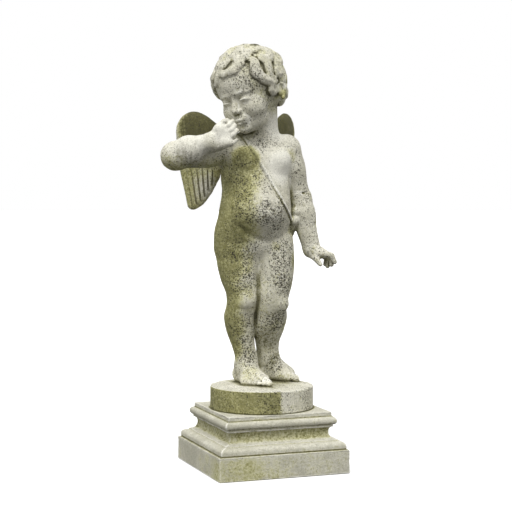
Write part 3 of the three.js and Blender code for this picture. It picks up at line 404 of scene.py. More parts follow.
def foot(ankle, heel, ball_in, ball_out, big_toe, small_toe):
    """Heel, instep, the two sides of the ball of the foot, and five toes from big to small."""
    c = Clay()
    c.add(limb(ankle, off(heel, 0, 0, 24), 26, 26))
    c.add(ball(off(heel, 0, 0, 20), [27, 27, 24]), 10)
    instep = mix(ball_in, ball_out, 0.4)
    c.add(limb(off(ankle, 0, 0, -12), off(instep, 0, 0, 17), 27, 19), 14)
    c.add(limb(off(mix(ankle, instep, 0.5), 0, 0, -6), off(instep, 0, 0, 18), 25, 18), 14)
    c.add(limb(off(ball_in, 0, 0, 14), off(ball_out, 0, 0, 11), 14, 11), 12)
    c.add(limb(off(heel, 0, 0, 14), off(ball_out, 0, 0, 10), 17, 12), 12)
    c.add(limb(off(heel, 0, 0, 16), off(ball_in, 0, 0, 13), 16, 13), 10)
    for i in range(5):
        t = i / 4
        root = off(mix(ball_in, ball_out, t), 0, 0, 11)
        tip = off(mix(big_toe, small_toe, t), 0, 0, 8.5 - 1.5 * t)
        thick = 9.5 - 3.0 * min(1, t * 2.5)
        toe = [root, off(mix(root, tip, 0.5), 0, 0, 3.5), mix(root, tip, 0.92)]
        c.add(path(toe, [thick * 1.1, thick * 0.92, thick]), 2.5)
    for i in range(4):
        t = (i + 0.45) / 4
        root = off(mix(ball_in, ball_out, t), 0, 0, 19)
        tip = off(mix(big_toe, small_toe, t), 0, 0, 10)
        gap = [mix(root, tip, 0.3), off(mix(root, tip, 0.65), 0, 0, 4), mix(root, tip, 1.08)]
        c.cut(path(gap, [0.8, 1.6, 2.0]), 2.5)
    return c

def base():
    return drum([0, 0, PLINTH_TOP + GAP], DISC_RADIUS, DISC_HEIGHT - GAP, 3)

def arm_right():
    c = Clay()
    c.add(limb(SHOULDER_R, ELBOW_R, 40, 35))
    c.add(ball(mix(SHOULDER_R, ELBOW_R, 0.42), [54, 40, 41]), 14)
    c.add(ball(SHOULDER_R, [42, 40, 40]), 14)
    c.add(ball(off(ELBOW_R, 0, -4, 0), [34, 32, 35]), 10)
    c.add(limb(off(ELBOW_R, 6, -10, 0), WRIST_R, 35, 25), 8)
    c.add(ball(mix(ELBOW_R, WRIST_R, 0.42), [42, 38, 37], turned(-46, 0, 18)), 10)
    return c

def arm_left():
    c = Clay()
    c.add(limb(SHOULDER_L, ELBOW_L, 38, 31))
    c.add(ball(mix(SHOULDER_L, ELBOW_L, 0.36), [37, 39, 52], turned(0, 0, -16)), 14)
    c.add(ball(SHOULDER_L, [38, 38, 36]), 14)
    c.add(ball(off(ELBOW_L, 0, 1, -4), [32, 34, 38]), 10)
    c.add(limb(off(ELBOW_L, 0, -3, -8), WRIST_L, 32, 23), 10)
    c.add(ball(mix(ELBOW_L, WRIST_L, 0.34), [32, 33, 42], turned(0, 16, -8)), 12)
    c.cut(path([[104, 6, 712], [124, -6, 710], [148, 4, 716]], [1, 1.6, 1]), 7)
    return c

def hand_right():
    """The palm turned out to the front, thumb below, fingertips at the mouth."""
    c = Clay()
    c.add(limb(WRIST_R, [-139, -58, 850], 25, 20))
    c.add(ball([-131, -62, 857], [24, 15, 30], turned(-20, 0, -12)), 10)
    # heel of the hand on both sides of the palm
    c.add(ball([-137, -66, 872], [13, 12, 16]), 8)
    c.add(path([[-138, -62, 834], [-128, -70, 836], [-116, -74, 838]], [15, 14, 11]), 10)
    # four fingers
    c.add(path([[-120, -67, 850], [-106, -76, 858], [-93, -73, 869]], [8.5, 7.2, 6]), 5)
    c.add(path([[-123, -64, 864], [-109, -75, 871], [-97, -68, 882]], [8.5, 7.2, 6]), 4)
    c.add(path([[-126, -62, 875], [-115, -72, 882], [-102, -65, 893]], [8, 7, 5.8]), 4)
    c.add(path([[-134, -60, 882], [-127, -68, 892], [-115, -62, 895]], [7.5, 6.5, 5.4]), 4)
    # thumb
    c.add(path([[-122, -70, 836], [-109, -75, 836], [-95, -72, 846]], [9.5, 7.5, 6]), 4)
    c.cut(path([[-150, -76, 818], [-146, -80, 842], [-150, -74, 866]], [2, 2.4, 2]), 5)
    return c

def hand_left():
    """The back of the hand up, fingers curled down, thumb beside them."""
    c = Clay()
    c.add(limb(WRIST_L, [150, -13, 557], 23, 17))
    c.add(ball([157, -16, 554], [23, 25, 14], turned(-18, 0, 10)), 9)
    c.add(path([[160, -34, 555], [179, -45, 549], [186, -47, 532]], [8.5, 7.2, 6]), 5)
    c.add(path([[166, -24, 556], [185, -33, 545], [183, -33, 524]], [8.5, 7.2, 6]), 4)
    c.add(path([[168, -12, 554], [184, -19, 540], [178, -19, 519]], [8, 7, 5.8]), 4)
    c.add(path([[168, -1, 551], [181, -5, 538], [176, -7, 524]], [7.5, 6.4, 5.4]), 4)
    c.add(path([[139, -17, 548], [142, -31, 538], [148, -41, 526]], [12, 8.5, 6]), 6)
    c.cut(path([[119, -15, 566], [137, -28, 574], [159, -13, 578]], [1.5, 2, 1.5]), 5)
    return c

HEAD_AXES = turned(-52, 22, -12)

def on_head(x, y, z):
    return toward(HEAD, HEAD_AXES, x, y, z)

def lump(x, y, z, rx, ry, rz):
    return ball(on_head(x, y, z), [rx, ry, rz], HEAD_AXES)

def rod(radii, *points):
    """A bent rod on the head."""
    return path([on_head(*p) for p in points], radii)

def face():
    """A plain child's face, full in the cheeks, its eyes lowered. Drawn in the head's own axes, facing -Y."""
    c = Clay()
    c.add(lump(0, 8, 10, 80, 94, 84))
    c.add(lump(0, -44, 20, 60, 48, 50), 20)
    c.add(lump(0, -46, -38, 54, 48, 50), 20)
    for s in [-1, 1]:
        c.add(lump(32 * s, -64, -44, 27, 27, 28), 16)
        c.add(lump(16 * s, -66, -78, 24, 24, 20), 16)
    c.add(lump(0, -86, -86, 19, 16, 14), 12)
    c.add(lump(0, -40, -84, 40, 36, 20), 16)
    # brow, nose
    for s in [-1, 1]:
        c.cut(lump(28 * s, -99, -13, 18, 11, 11), 14)
        c.add(rod([1.2, 1.6, 1.2], (10 * s, -91, 5), (26 * s, -89, 7), (42 * s, -78, 2)), 10)
    c.add(rod([6, 8], (0, -86, -10), (0, -101, -31)), 8)
    c.add(lump(0, -103, -35, 8.5, 8.5, 8), 5)
    for s in [-1, 1]:
        c.add(lump(9 * s, -98, -38, 6.5, 7.5, 6), 4)
        c.cut(lump(5 * s, -102, -45, 2.6, 3.5, 3), 2)
        # eyes: ball, upper and lower lid
        c.add(lump(28 * s, -76, -15, 15, 14, 13), 4)
        lid = [(14 * s, -85, -17), (21 * s, -91, -12), (31 * s, -91, -11), (42 * s, -81, -17)]
        c.add(rod([1.6, 2.2, 2.2, 1.6], *lid), 3)
        c.add(rod([1.4, 1.8, 1.4], (15 * s, -85, -19), (27 * s, -88, -24), (41 * s, -80, -19)), 3)
    # mouth
    c.add(lump(0, -92, -60, 21, 13, 14), 12)
    c.cut(rod([2.2, 2.6], (0, -107, -47), (0, -106, -54)), 4)
    for s in [-1, 1]:
        c.add(rod([3.4, 3.1, 1.6], (1 * s, -104.5, -58), (8 * s, -102.5, -58.5), (16 * s, -95, -63)), 3)
    c.add(rod([2.4, 4.2, 2.4], (-12, -97, -68), (0, -102, -69), (12, -97, -68)), 3)
    parting = [(-18, -96, -64), (-8, -105.5, -63.5), (0, -107, -62.5), (8, -105.5, -63.5), (18, -96, -64)]
    c.cut(rod([0.9, 1, 1, 1, 0.9], *parting), 1.6)
    c.cut(rod([2.2, 2.2], (-8, -101.5, -77), (8, -101.5, -77)), 9)
    # ears
    for s in [-1, 1]:
        c.add(lump(76 * s, 9, -33, 8, 13, 19), 4)
        rim = [(78, 0, -20), (83, 9, -14), (85, 18, -22), (84, 18, -36), (81, 9, -48), (80, 3, -53)]
        c.add(rod([2.5, 3.4, 3.8, 3.6, 3.4, 4.6], *((x * s, y, z) for x, y, z in rim)), 2.5)
        c.cut(lump(86 * s, 7, -32, 5, 6, 10), 3)
    return c

def cap():
    """The smooth cap of hair under the locks."""
    c = Clay()
    c.add(lump(0, 16, 15, 82, 91, 82.5))
    c.add(lump(0, 38, -20, 65, 55, 48), 20)
    c.add(lump(0, 42, -46, 50, 42, 32), 24)
    return c

CAP = cap()

def skull():
    """What the locks lie on: the cap and the forehead."""
    c = Clay()
    c.add(CAP)
    c.add(lump(0, 8, 10, 80, 94, 84), 8)
    c.add(lump(0, -44, 20, 60, 48, 50), 20)
    c.add(lump(0, -40, -30, 62, 50, 50), 20)
    return c

SKULL = skull()

def on_scalp(around, up, lift):
    """A point lift above the skull, by degrees round from the face towards his left and degrees up."""
    a, e = around * DEG, up * DEG
    x, y, z = sin(a) * cos(e), -cos(a) * cos(e), sin(e)
    r = 120
    for i in range(9):
        r = r - SKULL.at(on_head(x * r, 12 + y * r, 12 + z * r))
    r = r + lift
    return on_head(x * r, 12 + y * r, 12 + z * r)

def wavy(start, end, sway, waves):
    """A winding line on the scalp between two places (degrees round, degrees up)."""
    line = []
    da, de = end[0] - start[0], end[1] - start[1]
    size = hypot(da, de)
    for i in range(11):
        t = i / 10
        w = sway * sin(2 * pi * waves * t)
        line.append([start[0] + da * t - w * de / size, start[1] + de * t + w * da / size])
    return line

def snail(around, up, size, turns, hand, phase):
    """A line on the scalp wound in to its middle; size is its outer radius in millimetres."""
    line = []
    steps = round(turns * 9)
    for i in range(steps + 1):
        t = i / steps
        a = phase + hand * t * turns * 2 * pi
        s = size * (1 - 0.8 * t) / 1.6
        line.append([around + s * cos(a) / cos(up * DEG), up + s * sin(a)])
    return line

def tress(line, thick, gap, lift):
    """Three strands side by side along a line on the scalp, together at its ends. gap is in degrees."""
    c = Clay()
    n = len(line) - 1
    for j in [-1, 0, 1]:
        points, radii = [], []
        for i in range(n + 1):
            a, b = line[max(i - 1, 0)], line[min(i + 1, n)]
            k = cos(line[i][1] * DEG)
            da, du = (b[0] - a[0]) * k, b[1] - a[1]
            size = hypot(da, du)
            swell = sin(pi * (0.12 + 0.8 * i / n))
            side = j * gap * swell
            around, up = line[i][0] - side * du / size / k, line[i][1] + side * da / size
            points.append(on_scalp(around, up, lift + (1 - j * j) * 2.5 * swell))
            radii.append(thick * (0.45 + 0.55 * swell))
        c.add(path(points, radii), 2)
    return c

def bunch(around, up, size, hand, phase):
    """A full curl: a low mound with a tress wound round it."""
    c = Clay()
    m = 0.9 * size
    c.add(ball(on_scalp(around, up, -0.5 * size), [m, m, m]))
    c.add(tress(snail(around, up, size, 0.85, hand, phase), 0.33 * size, 0.16 * size, 0.22 * size), 2)
    return c

TORSO_CLAY = torso()

# loose curls: round, up, size, hand, phase
CURLS = [
    [-74, -16, 20, 1, 1.6], [-62, 14, 23, -1, 0.5], [-44, 34, 25, 1, 2], [-22, 52, 24, -1, 0.4],
    [34, 52, 25, -1, 3], [72, -22, 19, 1, 1], [60, 60, 26, 1, 0.6], [90, 4, 21, -1, 1],
    [84, 36, 26, -1, 2], [-90, -2, 20, 1, 1], [-82, 40, 24, 1, 1], [-52, 66, 24, -1, 2],
    [8, 72, 22, 1, 4], [110, 22, 22, 1, 3], [-108, 20, 22, -1, 0],
]

def hair():
    c = Clay()
    c.add(CAP)
    # shallow waves from the crown
    for i in range(14):
        c.add(tress(wavy([25.7 * i, 76], [25.7 * i + 20, 46], 4, 1), 4.5, 4.5, -1), 3)
    # long locks down the back, each ending in curls
    for i in range(8):
        a = 120 + 17 * i
        c.add(tress(wavy([a - 6, 46], [a + 6, 2], 4, 1.2), 4.8, 3.2, 0.5), 2)
        c.add(tress(wavy([a + 3, 8], [a - 2, -36], 4, 1), 4.6, 3, 0), 2)
        c.add(bunch(a - 2, -38 - 5 * sin(2.6 * i), 15, 1, 1.6 + i), 2)
        c.add(bunch(a + 7, -54 - 4 * sin(3.1 * i), 13, -1, 0.7 * i), 2)
    # the big forelock, rolled in on itself
    c.add(tress(snail(8, 46, 36, 0.9, 1, 3.6), 7.5, 3.9, 4), 2)
    c.add(tress(wavy([-4, 40], [-28, 18], -5, 0.8), 6, 3.2, 4), 2)
    # bunches at the temples
    for s in [-1, 1]:
        c.add(tress(wavy([46 * s, 44], [54 * s, 4], 6 * s, 1), 7.2, 3.8, 5), 2)
        c.add(tress(wavy([56 * s, 20], [65 * s, -22], -6 * s, 0.9), 7.2, 3.8, 5), 2)
        c.add(tress(wavy([68 * s, 34], [78 * s, -8], 6 * s, 1), 7.2, 3.8, 4), 2)
        c.add(tress(wavy([92 * s, 30], [100 * s, -8], 5 * s, 1), 6.4, 3.4, 3), 2)
    for k in CURLS:
        c.add(bunch(*k), 2.5)
    return c

def wing(side):
    """A folded wing, side -1 for his right and 1 for his left: seven long feathers under a smooth covert."""
    c = Clay()
    def at(s, z, t):
        """The point s out along the wing and t behind it."""
        x = WING_HINGE[0] + side * (30 + 4 * side + (s - t) * DIAGONAL)
        return [x, WING_HINGE[1] + (s + t) * DIAGONAL, z]
    n = [-side * DIAGONAL, DIAGONAL, 0]
    for i in range(7):
        k = i / 6
        root = at(178 - 106 * k, 812 - 6 * k, 2)
        tip = at(150 - 70 * k ** 0.9, 681 + 76 * k ** 1.5, 2 - 2 * k)
        c.add(blade(root, tip, 17, 14, 11, 8, n), 12)
    for i in range(6):
        k = (i + 0.5) / 6
        for t in [-1, 1]:
            root = at(178 - 106 * k, 800 - 6 * k, 2 + 12.5 * t)
            tip = at(152 - 72 * k ** 0.9, 666 + 76 * k ** 1.5, 1 + 8 * t)
            c.cut(path([root, tip], [1.7, 2.2]), 3)
    for i in range(5):
        k = i / 4
        c.add(blade(at(170 - 90 * k, 830, 3), at(168 - 92 * k, 794 - 6 * k, 3), 16, 12, 14, 8.5, n), 3)
    c.add(blade(at(145, 876, 2), at(142, 828, 2), 53, 52, 16, 13, n), 8)
    c.add(blade(at(118, 866, 2), at(16, 822, 0), 48, 30, 15, 16, n), 12)
    c.add(blade(at(90, 800, 0), at(10, 800, 0), 26, 22, 12, 15, n), 12)
    return c

def strap():
    """A cord round the body, from his right shoulder down to the quiver at his left hip."""
    return girdle(TORSO_CLAY, STRAP_POINT, STRAP_NORMAL, 3.4, 3.9)

def quiver():
    c = Clay()
    c.add(limb([96, 12, 648], [70, 76, 530], 17, 13))
    c.add(ball([97, 4, 662], [16, 16, 13]), 5)
    c.add(ball([90, -2, 640], [13, 13, 13]), 4)
    return c

def belly_fold(body):
    """The soft fold under the belly, laid on the front of a body."""
    line = []
    for at in [[-78, 628], [-50, 606], [-20, 591], [8, 586], [34, 590], [58, 604], [77, 624]]:
        y = -170
        for i in range(14):
            y = y + body.at([at[0], y, at[1]])
        y = y - 1
        line.append([at[0], y, at[1]])
    return path(line, [1.5, 3, 4, 4, 4, 3, 1.5])

def figure():
    f = Clay()
    f.add(TORSO_CLAY)
    f.add(strap(), 1.5)
    f.add(right_leg(), 14)
    f.add(left_leg(), 10)
    f.cut(belly_fold(f), 12)
    f.add(foot(ANKLE_R, *SOLE_R), 12)
    f.add(foot(ANKLE_L, *SOLE_L), 12)
    f.add(base(), 3)
    f.add(arm_right(), 16)
    f.add(arm_left(), 10)
    f.add(hand_right(), 6)
    f.add(hand_left(), 6)
    f.add(limb(off(NECK_BASE, 4, 6, -14), off(HEAD, 28, 20, -60), 42, 39), 16)
    f.add(limb(off(NECK_BASE, 14, 16, -16), off(HEAD, 44, 24, -58), 42, 37), 16)
    f.add(face(), 10)
    f.add(hair(), 4)
    f.add(wing(-1), 8)
    f.add(wing(1), 8)
    f.add(quiver(), 4)
    return f

# ---- weathering noise

PERIOD = 48
LATTICE = np.random.default_rng(41).random((PERIOD,) * 3).astype(np.float32)

def noise(p, size, shift=0.0):
    """Smooth noise from 0 to 1 with features of the given size in millimetres."""
    q = np.asarray(p, np.float32) / size + shift
    k = np.floor(q).astype(int)
    t = q - k
    t = t * t * (3 - 2 * t)
    out = np.zeros(len(q), np.float32)
    share = (1 - t, t)
    for i in (0, 1):
        for j in (0, 1):
            for m in (0, 1):
                w = share[i][:, 0] * share[j][:, 1] * share[m][:, 2]
                out += w * LATTICE[tuple((k[:, axis] + o) % PERIOD for axis, o in enumerate((i, j, m)))]
    return out

def cloud(p, size, octaves=4, shift=0.0):
    """Noise with finer noise on it, from 0 to 1."""
    total, weight, out = 0.0, 1.0, 0.0
    for i in range(octaves):
        out = out + weight * noise(p, size / 2**i, shift + 7.3 * i)
        total += weight
        weight *= 0.55
    return out / total

def ramp(v, a, b):
    t = np.clip((np.asarray(v, np.float32) - a) / (b - a), 0, 1)
    return t * t * (3 - 2 * t)

def patches(p, places):
    """The strongest of some soft round patches: x, y, z, radius, amount."""
    out = np.zeros(len(p), np.float32)
    for x, y, z, r, amount in places:
        d = np.sqrt(((p - np.array([x, y, z], np.float32)) ** 2).sum(1)) / r
        out = np.maximum(out, amount * (1 - ramp(d, 0.3, 1.15)))
    return out

# ---- meshes

def blocks_of(points, size=60.0):
    """Groups of point numbers that lie near each other."""
    key = np.floor(points / size).astype(int)
    order = np.lexsort(key.T)
    cuts = np.flatnonzero(np.any(np.diff(key[order], axis=0), axis=1)) + 1
    return np.split(order, cuts)

def distances(clay, points):
    out = np.zeros(len(points), np.float32)
    for part in blocks_of(points):
        out[part] = clay.reaching(20.0, points[part].astype(np.float32))
    return out

def mesh_from(name, points, quads):
    me = bpy.data.meshes.new(name)
    me.vertices.add(len(points))
    me.vertices.foreach_set("co", (points * MM).astype(np.float32).ravel())
    me.loops.add(len(quads) * 4)
    me.loops.foreach_set("vertex_index", quads.astype(np.int32).ravel())
    me.polygons.add(len(quads))
    me.polygons.foreach_set("loop_start", np.arange(len(quads), dtype=np.int32) * 4)
    me.update(calc_edges=True)
    me.validate()
    return me

def vertex_data(me):
    n = len(me.vertices)
    p, v = np.zeros(n * 3, np.float32), np.zeros(n * 3, np.float32)
    me.vertices.foreach_get("co", p)
    me.vertices.foreach_get("normal", v)
    return p.reshape(-1, 3) * METRE, v.reshape(-1, 3)

def move(me, points):
    me.vertices.foreach_set("co", (points * MM).astype(np.float32).ravel())
    me.update()

def thinned(obj, faces):
    """Gives the object the same mesh with at most this many triangles."""
    m = obj.modifiers.new("thin", "DECIMATE")
    m.ratio = min(1.0, faces / (2 * len(obj.data.polygons)))
    m.use_collapse_triangulate = True
    dg = bpy.context.evaluated_depsgraph_get()
    me = bpy.data.meshes.new_from_object(obj.evaluated_get(dg), depsgraph=dg)
    obj.modifiers.clear()
    old, obj.data = obj.data, me
    bpy.data.meshes.remove(old)
    me.polygons.foreach_set("use_smooth", np.ones(len(me.polygons), bool))
    me.update()

def paint(me, name, values):
    a = me.attributes.new(name, "FLOAT", "POINT")
    a.data.foreach_set("value", np.clip(values, 0, 1).astype(np.float32))

def largest_part(points, quads):
    """Only the biggest connected skin."""
    label = np.arange(len(points))
    a = np.concatenate([quads[:, 0], quads[:, 1], quads[:, 2]])
    b = np.concatenate([quads[:, 1], quads[:, 2], quads[:, 3]])
    while True:
        low = np.minimum(label[a], label[b])
        new = label.copy()
        np.minimum.at(new, a, low)
        np.minimum.at(new, b, low)
        new = new[new]
        if np.array_equal(new, label):
            break
        label = new
    kept = label == np.bincount(label).argmax()
    number = np.cumsum(kept) - 1
    good = kept[quads].all(1)
    return points[kept], number[quads[good]]

def new_piece(me, node, faces=None):
    """An object of this mesh in place of a CAD piece, thinned if a number of faces is given."""
    obj = bpy.data.objects.new(me.name, me)
    bpy.context.scene.collection.objects.link(obj)
    if faces:
        thinned(obj, faces)
    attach(obj, "root")
    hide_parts(node)
    return obj

def make_figure():
    clay = figure()
    points, quads = largest_part(*mesh_of(clay, FIGURE_STEP))
    skin = mesh_from("stone_figure", points, quads)
    obj = new_piece(skin, "putto_figure", FIGURE_FACES)
    me = obj.data
    p, n = vertex_data(me)
    # weathered skin: shallow lumps and finer grain, none on the bed of the base
    free = ramp(p[:, 2], PLINTH_TOP + 1, PLINTH_TOP + 5)
    wear = (noise(p, 23) - 0.5) * 1.2 + (noise(p, 9, 3) - 0.5) * 0.8 + (noise(p, 4, 5) - 0.5) * 0.5
    # near and wide tell how closed in the surface is: the mask darkens creases and hollows with painted shade
    # and dirt
    near = distances(clay, p + n * 5)
    wide = distances(clay, p + n * 16)
    dirt_and_shade = np.maximum(ramp(1 - near / 5, 0.12, 0.7), 0.6 * ramp(1 - wide / 16, 0.2, 0.8))
    # edge marks the convex parts, painted paler as wear and painted highlight
    under = distances(clay, p - n * 5)
    edge = ramp(1 + under / 5, 0.05, 0.5)
    move(me, p + n * (wear * free)[:, None])
    x, y, z = p.T
    right = ramp(-x, -10, 90)
    algae = patches(p, ALGAE)
    algae = np.maximum(algae, 0.8 * right * ramp(z, 530, 600) * (1 - ramp(z, 760, 850)))
    algae = np.maximum(algae, 0.62 * ramp(n[:, 1], 0.1, 0.8))
    algae = np.maximum(algae, 0.2 + 0.14 * ramp(-z, -620, -420) - 0.3 * ramp(n[:, 2], 0.2, 0.9))
    # algae also thickens along that mask of painted shade and dirt
    algae = np.maximum(algae, 0.75 * dirt_and_shade)
    disc = (z < FLOOR - 1).astype(np.float32)
    turn = np.degrees(np.arctan2(x, -y))
    ring = 0.85 * (1 - ramp(turn, -4, 4)) + 0.25
    ring += (0.7 - ring) * ramp(np.abs(turn), 130, 178)
    algae = algae * (1 - disc) + disc * ring * (1 - ramp(n[:, 2], 0.3, 0.8) * 0.7)
    # clean patches: less algae and specks, painted paler; the patch at the neck is painted light over the
    # shade under the chin
    clean_and_painted_light = patches(p, CLEAN_AND_PAINTED_LIGHT)
    locks = (1 - ramp(np.abs(distances(CAP, p)), 12, 18)) * ramp(z, 880, 920)
    algae = np.maximum(algae * (1 - 0.9 * clean_and_painted_light), 0.42 * locks)
    # in the hair the mask is made stronger: deeper painted shade between the locks
    dirt_and_shade = dirt_and_shade * (1 + 0.7 * locks)
    specks = patches(p, SPECKS)
    specks = np.maximum(specks, 0.3)
    specks *= 1 - 0.9 * clean_and_painted_light
    paint(me, "algae", algae)
    paint(me, "specks", specks)
    paint(me, "dirt_and_shade", dirt_and_shade)
    paint(me, "edge", np.maximum(edge, clean_and_painted_light))
    paint(me, "grime", np.maximum(patches(p, GRIME), 0.5 * ramp(y, 95, 150)))
    # dark stains, and painted shade between the legs and on the inner left shin
    paint(me, "stain_and_shade", patches(p, STAIN_AND_SHADE))
    return obj

# soft round patches: x, y, z, radius, amount. BLOCK_ALGAE is on the plinth, the others on the figure
ALGAE = [
    [-90, 0, 640, 110, 1.1], [-75, -20, 720, 80, 1.0], [-60, -50, 800, 56, 1.2], [-35, -60, 765, 50, 0.7],
    [-100, 20, 590, 80, 1.0], [-60, -50, 610, 50, 0.7], [-115, 20, 530, 100, 1.25], [-50, -30, 530, 50, 0.6],
    [-100, 25, 440, 80, 1.2], [-50, -20, 460, 40, 0.5], [-98, 30, 370, 80, 1.2], [-74, 40, 310, 54, 1.0],
    [-30, 0, 240, 40, 0.5], [92, 0, 530, 46, 0.9], [84, -5, 460, 40, 0.8], [86, 10, 600, 40, 0.6],
    [70, -6, 806, 30, 0.85], [76, 25, 370, 44, 0.7], [25, -44, 578, 30, 0.6], [-30, -50, 575, 30, 0.6],
    [130, 20, 700, 34, 0.5], [152, 10, 625, 34, 0.55], [30, -20, 350, 60, 0.45], [110, 50, 232, 34, 0.4],
    [-120, 150, 880, 100, 1.2], [130, 150, 880, 100, 1.2],
    [62, 10, 1010, 46, 0.95], [48, -45, 955, 40, 0.95], [56, 0, 1050, 40, 0.85], [-50, 20, 1065, 60, 0.8],
    [15, -40, 930, 30, 0.5],
]
SPECKS = [
    [0, -90, 665, 90, 0.68], [30, -70, 620, 55, 0.68], [10, -60, 745, 60, 0.5],
    [-70, -60, 680, 80, 0.65], [-60, -30, 760, 70, 0.55],
    [10, -10, 850, 60, 0.6], [-60, -80, 1000, 64, 0.6], [-10, -50, 950, 50, 0.5], [50, -30, 550, 64, 0.72],
    [-60, -20, 560, 70, 0.7], [-55, -10, 490, 64, 0.7], [45, -40, 480, 56, 0.82], [-40, -10, 350, 76, 0.75],
    [40, -10, 380, 54, 0.8], [120, 10, 700, 50, 0.5], [140, -10, 620, 54, 0.42], [70, -10, 770, 64, 0.5],
    [-10, 0, 1080, 54, 0.7], [-30, -130, 180, 70, 0.5], [90, -100, 185, 60, 0.5], [-190, -10, 800, 60, 0.6],
    [20, -40, 330, 50, 0.8], [50, 40, 260, 50, 0.6], [-30, 10, 290, 50, 0.75],
]
# clean, paler stone; the patch at the neck is painted light over the shade under the chin
CLEAN_AND_PAINTED_LIGHT = [
    [-190, -20, 840, 80, 0.7], [-125, -65, 865, 50, 1.0], [-20, -20, 200, 50, 0.15], [100, 50, 215, 50, 0.3],
    [45, -50, 780, 70, 1.0], [-110, 130, 720, 60, 0.6], [40, 10, 880, 56, 0.8], [-40, -40, 425, 26, 0.4],
]
GRIME = [
    [-120, 140, 760, 110, 0.9], [130, 140, 760, 110, 0.9], [-190, -20, 800, 60, 0.7],
    [-100, 60, 780, 50, 0.8],
]
BLOCK_ALGAE = [
    [-165, -178, 20, 130, 0.55], [-110, -178, 20, 90, 0.6], [-30, -175, 20, 110, 0.35],
    [-178, -60, 20, 90, 0.35], [90, -175, 10, 80, 0.3],
]
# dark stains, and painted shade: the patches between the legs and on the inner side of the left shin
STAIN_AND_SHADE = [
    [-125, 140, 895, 90, 1.2], [130, 140, 895, 90, 1.15], [-20, 0, 1090, 24, 0.75], [-110, 60, 775, 40, 0.8],
    [-10, 30, 340, 46, 0.5], [30, 20, 330, 60, 0.55], [50, 30, 270, 44, 0.5], [-70, -50, 815, 34, 0.6],
    [60, 20, 450, 30, 0.35], [-22, 0, 205, 40, 0.25], [-190, -20, 790, 44, 0.4], [60, 20, 1000, 40, 0.4],
]

# ---- the plinth

def plinth_profile():
    """Half width and height along the side, from the bottom edge to the top edge."""
    def bend(c, r, a0, a1, steps):
        turns = [(a0 + (a1 - a0) * i / steps) * DEG for i in range(steps + 1)]
        return [[c[0] + r[0] * cos(a), c[1] + r[1] * sin(a)] for a in turns]
    return [
        [173.5, 0], [175, 1.5], [175, 58.5], [173.5, 60], [168, 60.5], [168.5, 62], [169, 64.5],
        *bend([156, 69], [13, 11.5], 0, 86, 12), [153, 80.8], [152.4, 81.4], [151.6, 84.6],
        *bend([151, 102.5], [17.5, 17.5], 268, 180, 12), *bend([141, 104], [7.5, 12], 172, 100, 8),
        [142.5, 116.5], [142.5, 121.5],
        *bend([142, 132.3], [8.6, 10], -84, 84, 14), [140, 143], [140, 152.5], [138.5, 154],
    ]

def section_gap(outline, points):
    """Signed distance in millimetres from points (half width, height) to the moulding's section."""
    ring = np.array([[-40, 0], *outline, [-40, PLINTH_TOP]], float)
    gx, gz = points[:, 0], points[:, 1]
    best, inside = np.full(len(points), 1e9), np.zeros(len(points), bool)
    for (ax, az), (bx, bz) in zip(ring, np.roll(ring, -1, axis=0)):
        ux, uz = bx - ax, bz - az
        t = np.clip(((gx - ax) * ux + (gz - az) * uz) / (ux * ux + uz * uz), 0, 1)
        best = np.minimum(best, np.hypot(gx - ax - t * ux, gz - az - t * uz))
        if uz:
            inside ^= ((az > gz) != (bz > gz)) & (gx < ux * (gz - az) / uz + ax)
    return np.where(inside, -best, best)

def dense(line, step):
    """The line with points every step or less, and one close to each corner."""
    out = []
    for a, b in zip(line, line[1:]):
        a, b = np.array(a, float), np.array(b, float)
        size = np.linalg.norm(b - a)
        n = max(1, int(np.ceil(size / step)))
        marks = set(np.linspace(0, 1, n + 1)[:-1])
        if size > 1.4:
            marks |= {0.35 / size, 1 - 0.35 / size}
        out += [a + (b - a) * t for t in sorted(marks)]
    return np.array(out + [np.array(line[-1], float)])

def square_ring(half, corner, steps):
    """Points round a square of this half width with small round corners."""
    out = []
    r = min(corner, half * 0.5)
    for side in range(4):
        turn = side * pi / 2
        c, s = cos(turn), sin(turn)
        for i in range(steps):
            u = (half - r) * (2 * i / steps - 1)
            out.append((u * c + half * s, u * s - half * c))
        for i in range(4):
            a = -pi / 2 + i * pi / 8
            x, y = half - r + r * cos(a), r - half + r * sin(a)
            out.append((x * c - y * s, x * s + y * c))
    return np.array(out)

